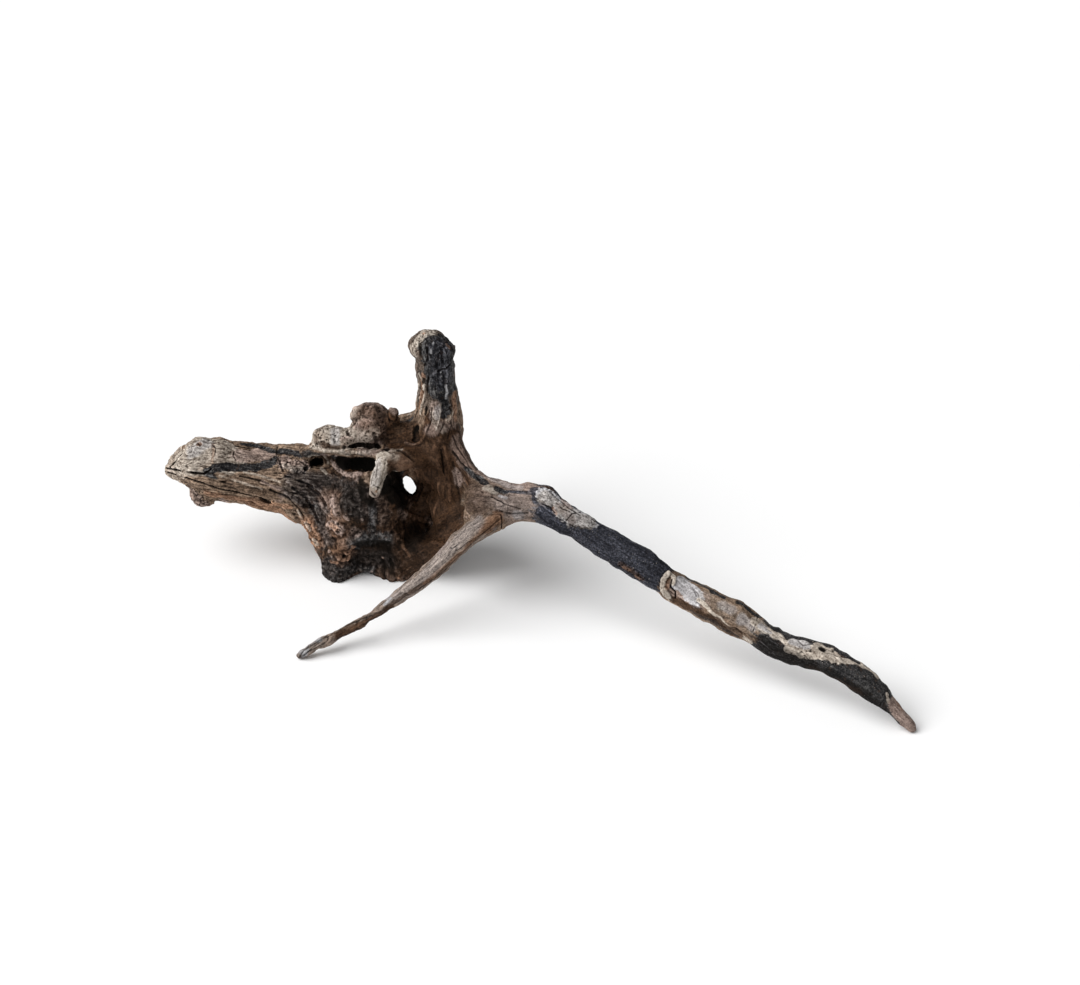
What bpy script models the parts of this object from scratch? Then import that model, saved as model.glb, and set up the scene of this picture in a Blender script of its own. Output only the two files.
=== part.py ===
"""Branching sinker wood: a gnarled root crown with a left limb, an upright limb, a long branch, a thin
front leg and a short hooked spur. The limbs grow out of the crown as one piece of wood, and the solids
part at the main forks. Metres, +Z up, +X towards the tip of the long branch, the front at -Y. The
origin is under the middle of the wood's box, on the surface that it stands on.
"""
import math

import bmesh
import bpy
from mathutils import Matrix, Vector, noise

MM = 0.001

# Driving sizes
TRIANGLES_IN_ALL = 8600
FUSE_VOXEL = 2.4 * MM
HOLLOW_VOXEL = 1.6 * MM
SKIN_VOXEL = 1.8 * MM
SMOOTHING = 0.5
WELD = 0.001 * MM
SLAB = 600 * MM
FORK_GAP = 0.3 * MM
FOOT_SINK = 0.8 * MM
BURL_HEIGHT = 1.5 * MM
BURL_SPACING = 15 * MM
BURL_OCTAVES = {"H": 0.9, "lacunarity": 2.0, "octaves": 3}
FURROW_DEPTH = 0.7 * MM
FURROW_SPACING = 6.5 * MM
FURROW_SHARPNESS = 4
FURROW_START = Vector((7, 3, 5))
SHARP_ANGLE = math.radians(50)
ROUGHNESS = 0.85

# Each run of wood is a list of stations along its middle: x, y, z and radius in millimetres.
LEFT_LIMB = [
    (-252, 78, 63, 4), (-245, 79, 66, 10), (-234, 79, 69, 17), (-221, 79, 67, 21), (-204, 79, 63, 21),
    (-183, 79, 59, 23), (-162, 79, 55, 26), (-141, 79, 50, 28), (-118, 78, 52, 28),
]
UPRIGHT_LIMB = [
    (-62, 75, 180, 6), (-61, 75, 173, 12), (-60, 75, 159, 13.5), (-59, 75, 147, 13.2), (-58, 75, 132, 13.5),
    (-59, 75, 119, 15), (-60, 75, 106, 17.5), (-63, 76, 90, 19), (-68, 78, 70, 18),
]
LONG_BRANCH = [
    (-34, 32, 72, 15), (-23, 27, 74, 16.2), (-14, 25, 74, 15.5), (-2, 22, 77, 13.6), (11, 18, 78.5, 13),
    (24, 10, 75, 10.6), (35, 4, 72.5, 9.6), (55, -8, 66, 10.6), (82, -23, 57, 10.7), (92, -29, 52.5, 9),
    (104, -36, 48, 10.2), (121, -46, 45, 11.4), (134, -54, 42.5, 11.6), (146, -61, 38.5, 10.4),
    (163, -71, 33, 9.9), (179, -80, 33.5, 10), (192, -88, 34, 9.6), (205, -96, 31, 9.3),
    (219, -104, 24.5, 9.4), (228, -109, 18.5, 7.6), (236, -113, 12, 5.6), (244, -118, 5, 4.4),
    (249, -121, 0.8, 2.6),
]
FRONT_LEG = [
    (-14, 19, 72, 10), (-20, 13, 70, 9), (-27, 9, 67.5, 8.4), (-40, 3, 61.5, 8.4), (-48, -1, 55, 7.6),
    (-57, -5, 46.5, 7), (-68, -11, 39, 6.6), (-77, -15, 32.5, 6), (-93, -22, 24, 4.6),
    (-104, -28, 19, 3.9), (-115, -33, 14.5, 3.6), (-126, -38, 10.5, 3.2), (-139, -44, 8, 3.8),
    (-146, -47, 4.8, 4), (-151, -49, 1, 3.2),
]
HOOK_SPUR = [
    (-70, 58, 86, 9), (-81, 52, 90.5, 8), (-88, 50, 93, 7.4), (-94, 47, 93, 6.4), (-98, 43.5, 88.5, 5.3),
    (-100, 38.5, 81.5, 5), (-101.5, 35, 76, 4.8), (-102, 34, 73, 3),
]
CROWN_RUNS = [
    # The stump, from the floor to the top of the crown
    [(-112, 62, -3, 21), (-111, 63, 12, 25), (-109, 68, 35, 29), (-107, 72, 56, 30), (-105, 75, 74, 26),
     (-103, 77, 86, 18)],
    # Left and right front feet, and the root behind that props the crown
    [(-122, 62, 45, 22), (-129, 52, 24, 16), (-131, 46, 8, 12.5), (-131, 44, -3, 12)],
    [(-100, 64, 45, 22), (-94, 53, 22, 16), (-91, 47, 8, 13), (-90, 45, -3, 12.5)],
    [(-110, 82, 48, 22), (-114, 98, 28, 16), (-118, 110, 11, 12.5), (-120, 114, -3, 11.5)],
    # The top of the crown under the knobs
    [(-146, 80, 78, 9), (-132, 80, 82, 11), (-114, 80, 86, 14), (-92, 79, 90, 15), (-72, 78, 96, 16)],
    # The wall behind the see-through hole, down from the upright limb
    [(-64, 77, 96, 18), (-65, 79, 74, 17), (-70, 79, 50, 15), (-80, 72, 28, 16), (-90, 62, 12, 14)],
    # The buttress from the upright limb down to the fork of the long branch
    [(-60, 72, 108, 16), (-54, 64, 97, 12.5), (-47, 54, 86, 11.5), (-38, 42, 78, 12), (-25, 30, 74.5, 14)],
    # The lower web that joins the fork to the right front foot
    [(-24, 27, 70, 13), (-31, 30, 65, 12.5), (-45, 36, 47, 13), (-60, 42, 29, 13), (-74, 46, 16, 12.5),
     (-87, 48, 5, 12)],
    # The wall between the buttress and the lower web
    [(-62, 74, 86, 13), (-58, 68, 62, 13.5), (-52, 58, 46, 13), (-54, 50, 34, 12)],
    [(-60, 70, 70, 12), (-48, 56, 66, 12), (-38, 44, 64, 11)],
    # The arch from the hooked spur over the see-through hole
    [(-97, 53, 92, 7), (-84, 55, 92, 8.5), (-72, 62, 89, 10), (-60, 70, 88, 13)],
    # The ledge over the long slot, level with the top of the left limb
    [(-156, 72, 85, 5), (-144, 67, 90, 4.6), (-130, 63, 93, 4.4), (-116, 60, 94.5, 4.2), (-104, 57, 95.5, 4.4),
     (-94, 55, 95.5, 5)],
]

# Rounded knobs: the middle, the three half sizes and the turn about Z in degrees
KNOBS = {
    "pale_knob": ((-134, 71, 97.5), (13.5, 11, 9.5), -10),
    "tall_knob": ((-105.5, 72, 111), (13, 12, 14.5), 12),
    "low_knob": ((-119, 66, 100), (10, 8.5, 8), 0),
    "small_knob": ((-88.5, 70, 113.5), (4.8, 5.5, 9.5), 0),
    "crown_neck": ((-80, 73, 103), (10, 9, 6), 0),
    "limb_end_knob": ((-226, 79, 81), (11, 12, 10), 15),
    "limb_end_knob_back": ((-214, 80, 82), (10, 12, 8), 0),
    "limb_under_knob": ((-226, 73, 50), (9.5, 9.5, 9), 0),
    "limb_under_ridge": ((-206, 72, 48), (16, 8, 5), 0),
    "upright_head": ((-63, 74, 168), (14, 14, 11), 0),
    "upright_head_lip": ((-49, 71, 168), (5, 7, 5), 0),
    "elbow_knot": ((15, 19, 89), (6, 6, 4.5), 20),
    "branch_knot": ((92, -26, 60), (5, 5, 4), 0),
    "branch_burl": ((138, -55, 50), (8, 6, 5), -30),
    "bark_collar": ((95, -35, 50.5), (4.5, 8, 9), -30),
    "left_foot_lump": ((-142, 54, 31), (10, 11, 15), 0),
    "mass_lump_high": ((-122, 47, 58), (10, 7, 11), 0),
    "mass_lump_low": ((-112, 42, 30), (8, 7, 9), 0),
}

# Hollows: the middle, the three half sizes, and the turns about X and Z in degrees
HOLLOWS = {
    "long_slot": ((-114, 53, 88), (16, 18, 6.5), -35, -4),
    "small_oval_hole": ((-143.5, 71, 78.5), (5, 13, 3.6), -35, 0),
    "hole_mouth": ((-78, 46, 74), (15, 20, 12), 20, 0),
    "hole_mouth_back": ((-84, 96, 44), (13, 16, 15), 0, 0),
    "lower_hollow": ((-70, 38, 42), (8, 17, 10), -20, -12),
    "fold_hole": ((-75, 59, 113), (4, 12, 7), -20, 0),
    "knob_crevice": ((-108, 58, 99.5), (15, 12, 2.6), -30, 0),
    "hole_mouth_low": ((-70, 54, 62), (9, 17, 8), -20, 0),
    "feet_hollow": ((-107, 20, 20), (14, 19, 17), 0, 0),
    "feet_arch": ((-112, 30, -6), (11, 34, 8), 0, 0),
    "under_stump": ((-112, 70, -3), (12, 12, 16), 0, 0),
    "split_gash": ((-182, 56, 56), (9, 7, 2.6), -30, 6),
}
# The smooth dish between the see-through hole and the buttress is a run of hollow, as the wood's runs
DISH = [
    (-55, 54, 106, 4), (-51, 47, 97, 8), (-47.5, 40.5, 85, 11.5), (-47, 35, 71.5, 13), (-53, 30, 55.5, 12),
    (-62, 29, 40, 8),
]
SEE_THROUGH = {
    "start": (-76.5, 20, 93.5), "end": (-88, 150, 3), "half_width": 4.2, "half_height": 7.8, "lean": -18,
}

# Forks: where the limb parts from the crown, which way it leaves, and its box's length and width
FORKS = {
    "left_limb": ((-153, 79, 56), (-1, 0, 0.12), 150, 110),
    "upright_limb": ((-59, 75, 117), (0, 0, 1), 100, 52),
    "long_branch": ((-7, 24, 76), (1, -0.2, 0.1), 340, 250),
    "front_leg": ((-37, 3.5, 61), (-0.82, -0.36, -0.44), 170, 28),
    "hook_spur": ((-98.5, 42.5, 86.5), (-0.2, -0.49, -0.84), 22, 14.8),
}
COLOURS = {
    "root_crown": (0.10, 0.055, 0.03, 1),
    "left_limb": (0.22, 0.16, 0.12, 1),
    "upright_limb": (0.07, 0.06, 0.055, 1),
    "long_branch": (0.13, 0.11, 0.10, 1),
    "front_leg": (0.24, 0.19, 0.15, 1),
    "hook_spur": (0.28, 0.22, 0.18, 1),
}


def clear_scene():
    for thing in list(bpy.data.objects):
        bpy.data.objects.remove(thing)


def new_collection(name):
    made = bpy.data.collections.new(name)
    bpy.context.scene.collection.children.link(made)
    return made


def mm(point):
    return Vector(point) * MM


def fluted_ring(collection, lobes=3, depth=0.07, points=20):
    """A round outline of radius 1 with shallow flutes, as the cross-section of old root wood."""
    data = bpy.data.curves.new("fluted_ring", "CURVE")
    data.dimensions = "2D"
    spline = data.splines.new("POLY")
    spline.points.add(points - 1)
    for i, point in enumerate(spline.points):
        turn = math.tau * i / points
        reach = 1 + depth * math.sin(lobes * turn) + 0.5 * depth * math.sin((lobes + 2) * turn + 1)
        point.co = (reach * math.cos(turn), reach * math.sin(turn), 0, 1)
    spline.use_cyclic_u = True
    ring = bpy.data.objects.new("fluted_ring", data)
    ring.hide_render = True
    ring.display_type = "WIRE"
    collection.objects.link(ring)
    return ring


def add_run(wood, ring, stations, twist=0.12):
    """Sweeps the ring along smooth stations and adds the closed tube to the wood's mesh."""
    data = bpy.data.curves.new("run", "CURVE")
    data.dimensions = "3D"
    data.resolution_u = 4
    data.bevel_mode = "OBJECT"
    data.bevel_object = ring
    data.use_fill_caps = True
    spline = data.splines.new("BEZIER")
    spline.bezier_points.add(len(stations) - 1)
    for i, (point, (x, y, z, radius)) in enumerate(zip(spline.bezier_points, stations)):
        point.co = mm((x, y, z))
        point.radius = radius * MM
        point.tilt = twist * i
        point.handle_left_type = point.handle_right_type = "AUTO"
    run = bpy.data.objects.new("run", data)
    bpy.context.scene.collection.objects.link(run)
    graph = bpy.context.evaluated_depsgraph_get()
    tube = bpy.data.meshes.new_from_object(run.evaluated_get(graph))
    wood.from_mesh(tube)
    bpy.data.objects.remove(run)
    bpy.data.meshes.remove(tube)


def ball_matrix(middle, halves, about_x=0, about_z=0):
    turn = Matrix.Rotation(math.radians(about_z), 4, "Z") @ Matrix.Rotation(math.radians(about_x), 4, "X")
    return Matrix.Translation(mm(middle)) @ turn @ Matrix.Diagonal((*mm(halves), 1))


def add_knob(wood, middle, halves, about_z):
    bmesh.ops.create_icosphere(wood, subdivisions=3, radius=1, matrix=ball_matrix(middle, halves, 0, about_z))


def modelled(name, mesh, collection):
    thing = bpy.data.objects.new(name, mesh)
    collection.objects.link(thing)
    return thing


def apply_modifiers(thing):
    graph = bpy.context.evaluated_depsgraph_get()
    mesh = bpy.data.meshes.new_from_object(thing.evaluated_get(graph))
    thing.modifiers.clear()
    thing.data = mesh


def fuse(thing, voxel, rounds):
    """Joins what overlaps into one skin, and lets the corners between runs fill a little."""
    remesh = thing.modifiers.new("fuse", "REMESH")
    remesh.mode = "VOXEL"
    remesh.voxel_size = voxel
    smooth = thing.modifiers.new("fill_corners", "SMOOTH")
    smooth.factor = SMOOTHING
    smooth.iterations = rounds
    apply_modifiers(thing)


def make_hollows(ring, collection):
    """All the hollows as one closed cutter, fused as the wood is."""
    shape = bmesh.new()
    for middle, halves, about_x, about_z in HOLLOWS.values():
        matrix = ball_matrix(middle, halves, about_x, about_z)
        bmesh.ops.create_icosphere(shape, subdivisions=3, radius=1, matrix=matrix)
    add_run(shape, ring, DISH)
    start, end = mm(SEE_THROUGH["start"]), mm(SEE_THROUGH["end"])
    along = (end - start).to_track_quat("Z", "Y").to_matrix().to_4x4()
    lean = Matrix.Rotation(math.radians(SEE_THROUGH["lean"]), 4, "Z")
    size = Matrix.Diagonal((SEE_THROUGH["half_width"] * MM, SEE_THROUGH["half_height"] * MM, 1, 1))
    bmesh.ops.create_cone(
        shape, cap_ends=True, segments=20, radius1=1, radius2=1, depth=(end - start).length,
        matrix=Matrix.Translation((start + end) / 2) @ along @ lean @ size,
    )
    cutter = hidden_cutter("hollows", shape, collection)
    fuse(cutter, HOLLOW_VOXEL, 1)
    return cutter


def welded(shape):
    bmesh.ops.remove_doubles(shape, verts=shape.verts[:], dist=WELD)
    mesh = bpy.data.meshes.new("shape")
    shape.to_mesh(mesh)
    shape.free()
    return mesh


def hidden_cutter(name, shape, collection):
    cutter = modelled(name, welded(shape), collection)
    cutter.hide_render = True
    cutter.display_type = "WIRE"
    return cutter


def carve(thing, operation, cutter):
    cut = thing.modifiers.new("carve", "BOOLEAN")
    cut.operation = operation
    cut.object = cutter
    apply_modifiers(thing)


def weather(thing):
    """Raises burls and cuts furrows in the skin, along each point's own normal."""
    moved = []
    for vertex in thing.data.vertices:
        place = vertex.co
        burl = noise.fractal(place / BURL_SPACING, *BURL_OCTAVES.values())
        furrow = (1 - abs(noise.noise(place / FURROW_SPACING + FURROW_START))) ** FURROW_SHARPNESS
        moved.append(place + vertex.normal * (BURL_HEIGHT * burl - FURROW_DEPTH * furrow))
    for vertex, place in zip(thing.data.vertices, moved):
        vertex.co = place


def stand_on_floor(thing, collection):
    """Wears the feet flat a little above their ends, and centres the box of the wood on the origin."""
    shape = bmesh.new()
    size = Matrix.Diagonal((SLAB, SLAB, SLAB, 1))
    bmesh.ops.create_cube(shape, size=1, matrix=Matrix.Translation((0, 0, FOOT_SINK - SLAB / 2)) @ size)
    slab = hidden_cutter("floor_slab", shape, collection)
    carve(thing, "DIFFERENCE", slab)
    places = [vertex.co for vertex in thing.data.vertices]
    low = Vector(min(place[axis] for place in places) for axis in range(3))
    high = Vector(max(place[axis] for place in places) for axis in range(3))
    shift = Vector((-(low.x + high.x) / 2, -(low.y + high.y) / 2, -low.z))
    thing.data.transform(Matrix.Translation(shift))
    bpy.data.objects.remove(slab)
    return shift


def thin_out(thing, triangles):
    thing.data.calc_loop_triangles()
    decimate = thing.modifiers.new("thin_out", "DECIMATE")
    decimate.ratio = triangles / len(thing.data.loop_triangles)
    apply_modifiers(thing)


def fork_box(name, shift, gap, collection):
    """A box that holds one limb from its fork outwards. With a gap it starts that much earlier."""
    place, way, length, width = FORKS[name]
    way = Vector(way).normalized()
    length, width = length * MM + gap, width * MM
    middle = mm(place) + shift + way * (length / 2 - gap)
    matrix = (
        Matrix.Translation(middle)
        @ way.to_track_quat("Z", "Y").to_matrix().to_4x4()
        @ Matrix.Diagonal((width, width, length, 1))
    )
    shape = bmesh.new()
    bmesh.ops.create_cube(shape, size=1, matrix=matrix)
    return hidden_cutter(name + "_box", shape, collection)


def finish(piece):
    material = bpy.data.materials.new(piece.name + "_wood")
    material.use_nodes = True
    shader = material.node_tree.nodes["Principled BSDF"]
    shader.inputs["Base Color"].default_value = COLOURS[piece.name]
    shader.inputs["Roughness"].default_value = ROUGHNESS
    shader.inputs["Metallic"].default_value = 0.0
    piece.data.materials.clear()
    piece.data.materials.append(material)
    piece.data.shade_smooth()
    piece.data.set_sharp_from_angle(angle=SHARP_ANGLE)


def main():
    clear_scene()
    parts = new_collection("sinker_wood")
    guides = new_collection("guides")
    cutters = new_collection("cutters")

    ring = fluted_ring(guides)
    shape = bmesh.new()
    for stations in [LEFT_LIMB, UPRIGHT_LIMB, LONG_BRANCH, FRONT_LEG, HOOK_SPUR, *CROWN_RUNS]:
        add_run(shape, ring, stations)
    for middle, halves, about_z in KNOBS.values():
        add_knob(shape, middle, halves, about_z)
    wood = modelled("wood", welded(shape), guides)
    fuse(wood, FUSE_VOXEL, 1)
    carve(wood, "DIFFERENCE", make_hollows(ring, cutters))
    fuse(wood, SKIN_VOXEL, 2)
    weather(wood)
    thin_out(wood, TRIANGLES_IN_ALL)
    shift = stand_on_floor(wood, cutters)

    crown = modelled("root_crown", wood.data.copy(), parts)
    for name in FORKS:
        limb = modelled(name, wood.data.copy(), parts)
        carve(limb, "INTERSECT", fork_box(name, shift, 0, cutters))
        carve(crown, "DIFFERENCE", fork_box(name, shift, FORK_GAP, cutters))
    for piece in parts.objects:
        finish(piece)
    bpy.data.objects.remove(wood)


main()
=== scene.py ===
"""Sinker wood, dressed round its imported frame. One skin is grown over the frame's six solids, weathered
with grain, cracks, char and bark, and parted at the forks, so that each solid gets its own finished piece.
Sizes in this file are in millimetres, and the scene itself is in metres.
"""
import itertools
import math

import bmesh
import bpy
import numpy as np
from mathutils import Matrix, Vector
from mathutils.bvhtree import BVHTree


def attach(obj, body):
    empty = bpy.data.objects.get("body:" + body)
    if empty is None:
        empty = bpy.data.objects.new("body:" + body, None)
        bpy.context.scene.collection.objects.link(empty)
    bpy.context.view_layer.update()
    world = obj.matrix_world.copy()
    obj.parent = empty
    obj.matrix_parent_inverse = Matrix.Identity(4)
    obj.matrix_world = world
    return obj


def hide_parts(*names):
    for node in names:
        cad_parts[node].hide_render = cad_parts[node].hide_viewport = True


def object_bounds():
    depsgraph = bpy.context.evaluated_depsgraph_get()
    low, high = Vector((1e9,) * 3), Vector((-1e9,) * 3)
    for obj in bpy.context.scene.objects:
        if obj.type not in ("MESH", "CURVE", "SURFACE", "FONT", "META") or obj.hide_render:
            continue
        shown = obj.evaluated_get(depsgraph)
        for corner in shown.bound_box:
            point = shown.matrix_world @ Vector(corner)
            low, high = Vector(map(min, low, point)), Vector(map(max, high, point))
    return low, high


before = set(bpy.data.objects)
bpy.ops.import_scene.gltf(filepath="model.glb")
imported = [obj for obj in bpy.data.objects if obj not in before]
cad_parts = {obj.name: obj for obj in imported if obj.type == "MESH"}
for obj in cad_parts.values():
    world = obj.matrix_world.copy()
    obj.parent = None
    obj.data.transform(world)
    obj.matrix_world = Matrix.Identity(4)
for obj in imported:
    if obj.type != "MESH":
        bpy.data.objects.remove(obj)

bl_info = {
    "name": "Sinker wood",
    "version": (1, 0, 0),
    "blender": (4, 5, 0),
    "location": "3D View > Sidebar > Sinker Wood",
    "description": "Grows, weathers and finishes a branching piece of sinker wood over its fixed frame",
    "category": "Object",
}

MM = 0.001
CAD_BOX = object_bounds()

# The photograph's frame in pixels, and the camera that took it
PHOTO_WIDTH, PHOTO_HEIGHT = 1080, 985
LENS, SENSOR = 60, 36
CAMERA_AIM = Vector((12.8, 144.4, -0.8))
CAMERA_REACH = 1357
CAMERA_TILT = math.radians(35)

# The stage: the floor's width in metres, and each soft light's name, the way to it, its strength and its
# spread in degrees
FLOOR_REACH = 120
LIGHTS = [("key", (-0.8, -0.1, 1.0), 2.75, 50), ("side", (-1.0, -0.5, 0.4), 1.3, 60)]
WORLD_STRENGTH = 0.3

# How far the wood's middle lines, as written below, stand from the frame's own origin
SHIFT = np.array((1.81, -0.56, -0.8))

# The middle of each run of wood: x, y, z and radius. The grain follows these runs.
RUNS = {
    "left_limb": [
        (-252, 79, 68, 6), (-221, 79, 67, 21), (-183, 79, 59, 23), (-150, 79, 52, 28), (-118, 78, 50, 28),
    ],
    "upright_limb": [(-62, 75, 182, 10), (-59, 75, 147, 13), (-58, 75, 125, 14), (-63, 76, 88, 18)],
    "long_branch": [
        (-34, 32, 72, 15), (-14, 25, 74, 15.5), (11, 18, 78.5, 13), (35, 4, 72.5, 9.6), (55, -8, 66, 10.6),
        (82, -23, 57, 10.7), (104, -36, 48, 10.2), (134, -54, 42.5, 11.6), (163, -71, 33, 9.9),
        (192, -88, 34, 9.6), (219, -104, 24.5, 9.4), (236, -113, 12, 5.6), (249, -121, 0, 3),
    ],
    "front_leg": [
        (-14, 19, 72, 10), (-40, 3, 61.5, 8.4), (-57, -5, 46.5, 7), (-77, -15, 32.5, 6), (-104, -28, 19, 4),
        (-126, -38, 10.5, 3.3), (-151, -49, 1, 3.2),
    ],
    "hook_spur": [
        (-84, 54, 91, 8), (-92, 49, 94, 7), (-97, 45, 91, 5.6), (-100, 38.5, 81.5, 5), (-102, 34, 72, 4),
    ],
    "stump": [(-112, 60, -6, 26), (-109, 68, 35, 30), (-105, 75, 80, 24), (-104, 76, 100, 14)],
    "left_foot": [(-122, 62, 50, 22), (-129, 52, 24, 16), (-131, 44, -6, 12)],
    "right_foot": [(-100, 64, 50, 22), (-94, 53, 22, 16), (-90, 45, -6, 12)],
    "back_foot": [(-110, 82, 48, 22), (-114, 98, 28, 16), (-120, 114, -6, 11)],
    "crown_top": [(-146, 80, 80, 9), (-114, 80, 88, 14), (-72, 78, 96, 16)],
    "back_wall": [(-63, 77, 100, 18), (-68, 79, 56, 15), (-92, 60, 6, 15)],
    "buttress": [(-60, 72, 112, 16), (-50, 58, 91, 12), (-38, 42, 78, 12), (-22, 29, 74, 14)],
    "web": [(-24, 27, 70, 13), (-45, 36, 47, 13), (-90, 48, 2, 12)],
    "hub_wall": [(-60, 74, 92, 13), (-56, 62, 58, 13), (-54, 50, 30, 12)],
    "arch": [(-97, 53, 92, 7), (-72, 62, 90, 10), (-58, 70, 90, 13)],
    "ledge": [(-156, 72, 85, 5), (-130, 63, 93, 4.5), (-94, 55, 95.5, 5)],
}

# Where each limb parts from the crown: a point of the fork, the way out along the limb, and the length
# and width of the box that holds the limb
FORKS = {
    "left_limb": ((-153, 79, 56), (-1, 0, 0.12), 150, 110),
    "upright_limb": ((-59, 75, 117), (0, 0, 1), 100, 52),
    "long_branch": ((-7, 24, 76), (1, -0.2, 0.1), 340, 250),
    "front_leg": ((-37, 3.5, 61), (-0.82, -0.36, -0.44), 170, 28),
    "hook_spur": ((-98.5, 42.5, 86.5), (-0.2, -0.49, -0.84), 22, 14.8),
}
SLOTS = {
    "root_crown": "crown_wood",
    "left_limb": "limb_wood",
    "upright_limb": "charred_wood",
    "long_branch": "branch_wood",
    "front_leg": "leg_wood",
    "hook_spur": "spur_wood",
}

# Growing the skin: how near to each other the frame's points are merged, how near its fork's plane the
# end of a limb lies, and how far that end is pushed into the crown
WELD = 0.001
CAP_NEAR = 0.15
CAP_OVERLAP = 1.0
# A coarse skin is grown first and a fine one over it. Each round of smoothing rubs the skin in and then
# out again, so that it doesn't shrink.
COARSE_VOXEL = 1.2
COARSE_ROUNDS, FINE_ROUNDS = 9, 5
SMOOTH_IN, SMOOTH_OUT = 0.5, -0.52
# Parting the skin: how near a fork's plane the faces are that it cuts, how far across they lie as a
# share of the limb's box, and how near the plane a point has to be to count as on it, in metres
CUT_NEAR = 3
CUT_ACROSS = 0.75
CUT_EXACT = 1e-7
# A piece with more triangles than this is thinned out to it
PIECE_TRIANGLES = 190000

# How strongly each run shows its fibres and its lumps, from 0 to 1
CHARACTER = {
    "left_limb": (1.0, 0.35), "upright_limb": (0.8, 0.4), "long_branch": (0.36, 0.14),
    "front_leg": (0.55, 0.06), "hook_spur": (0.4, 0.15), "stump": (0.1, 1.0), "left_foot": (0.15, 1.0),
    "right_foot": (0.2, 0.8), "back_foot": (0.5, 0.6), "crown_top": (0.3, 0.55), "back_wall": (0.6, 0.4),
    "buttress": (0.8, 0.3), "web": (0.5, 0.35), "hub_wall": (0.9, 0.2), "arch": (0.5, 0.12),
    "ledge": (0.5, 0.35),
}
# How far outside a run its points may lie, over what distance one run blends into the next, and the
# smallest share of a run that counts
RUN_REACH = 14
RUN_BLEND = 2.5
LEAST_SHARE = 0.04
# How widely the skin is levelled to tell ridges from grooves, and how much painted shade and highlight it
# gets
LEVEL_ROUNDS = 24
PAINTED_HEIGHT_SHADE = 0.62

# Patterns that are stretched along the grain: the length and width of their waves
RIDGES, THREADS, STRANDS, CRACKS = (17, 2.6), (9, 1.15), (34, 6.0), (42, 5.2)
BAND_ENDS, MARK_EDGES = (7, 2.4), (7, 2.2)
# Patterns that are alike in all directions: the size of their waves or cells
BURLS, ROUGH, GRIT, WORN, SWELL = 15, 7, 2.4, 18, 15
RIPPLES, PIT_SPACING, CRACKLE_BLOCKS, GATHERING = 4.5, 1.9, 3.4, 6
# How far the lumps' pattern is bent out of shape, and by waves of what size
BEND, BEND_WAVES = 3.5, 8
# How far apart the runs and the octaves lie in their patterns, so that no two look alike
RUN_STEP, OCTAVE_STEP, GRAIN_STEP = 31.7, 17.3, 400.0
# Brings the waves to heights from about -1 to 1
WAVE_HEIGHT = 1.7
# A distance in cells that is beyond every random centre
FAR_AWAY = 9.0
# Keeps a divisor above nothing
TINY = 1e-9

# How high each pattern stands, as a share of the height of the fibres or of the lumps
RIDGE_LIFT, THREAD_LIFT, STRAND_LIFT = 0.8, 0.25, 0.5
BURL_LIFT, ROUGH_LIFT, GRIT_LIFT = 0.9, 0.5, 0.17
# How high the wide swells are, and how much of that is there without any lumps
SWELL_LIFT, SWELL_LEAST = 0.5, 0.2
# How far the floor of a furrow lies below the middle of its ridges
FURROW_FLOOR = 0.3
# How strongly each pattern shows in the shade of the wood, round a middle shade, and how strongly the
# finest threads show where there is no fibre and how much they fade on char
MIDDLE_SHADE, THREAD_SHADE, STRAND_SHADE, GRIT_SHADE, GRIT_LEAST = 0.5, 0.18, 0.12, 0.2, 0.25
LEAST_THREADS, BURNT_THREADS = 0.15, 0.7
# Where in their pattern the cracks start and are fully open, where in another they fade in, how dirty they
# are, and how soon the dirt is at its full strength as the fibres grow
CRACK_EDGE, CRACK_BREAKS = (0.93, 0.99), (0, 0.4)
CRACK_DIRT, CRACK_REACH = 0.7, 1.3
# From where to where in their patterns the worn patches, the hollows and the tops fade in
WORN_EDGE = (-0.25, 0.35)
HOLLOWS, GRIT_HOLLOWS = (-0.1, -0.6), (-0.15, -0.6)
TOPS, GRIT_TOPS = (0.2, 0.7), (0.25, 0.7)
# How strongly the hollows darken with dirt and painted shade, how strongly the tops bleach and take a
# painted highlight, and how much char keeps the tops from it
HOLLOW_DIRT_AND_SHADE, TOP_PINK_AND_HIGHLIGHT, GRIT_PINK_AND_HIGHLIGHT, CHAR_KEEPS = 0.5, 0.25, 0.3, 0.7

# The tones of the wood. Bare wood shows where no other tone covers it.
TONES = ["char", "blue", "pale", "frost", "pink", "warm", "rich", "dirt"]
# Tones whose faces stay dark except on their highest grains, which carry a painted sheen
BURNT = ("char", "blue")
ROUGHNESS = {
    "char": 0.62, "blue": 0.5, "pale": 0.88, "frost": 0.9, "pink": 0.82, "warm": 0.72, "rich": 0.55,
    "dirt": 0.95,
}
WOOD_ROUGHNESS = 0.74
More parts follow.
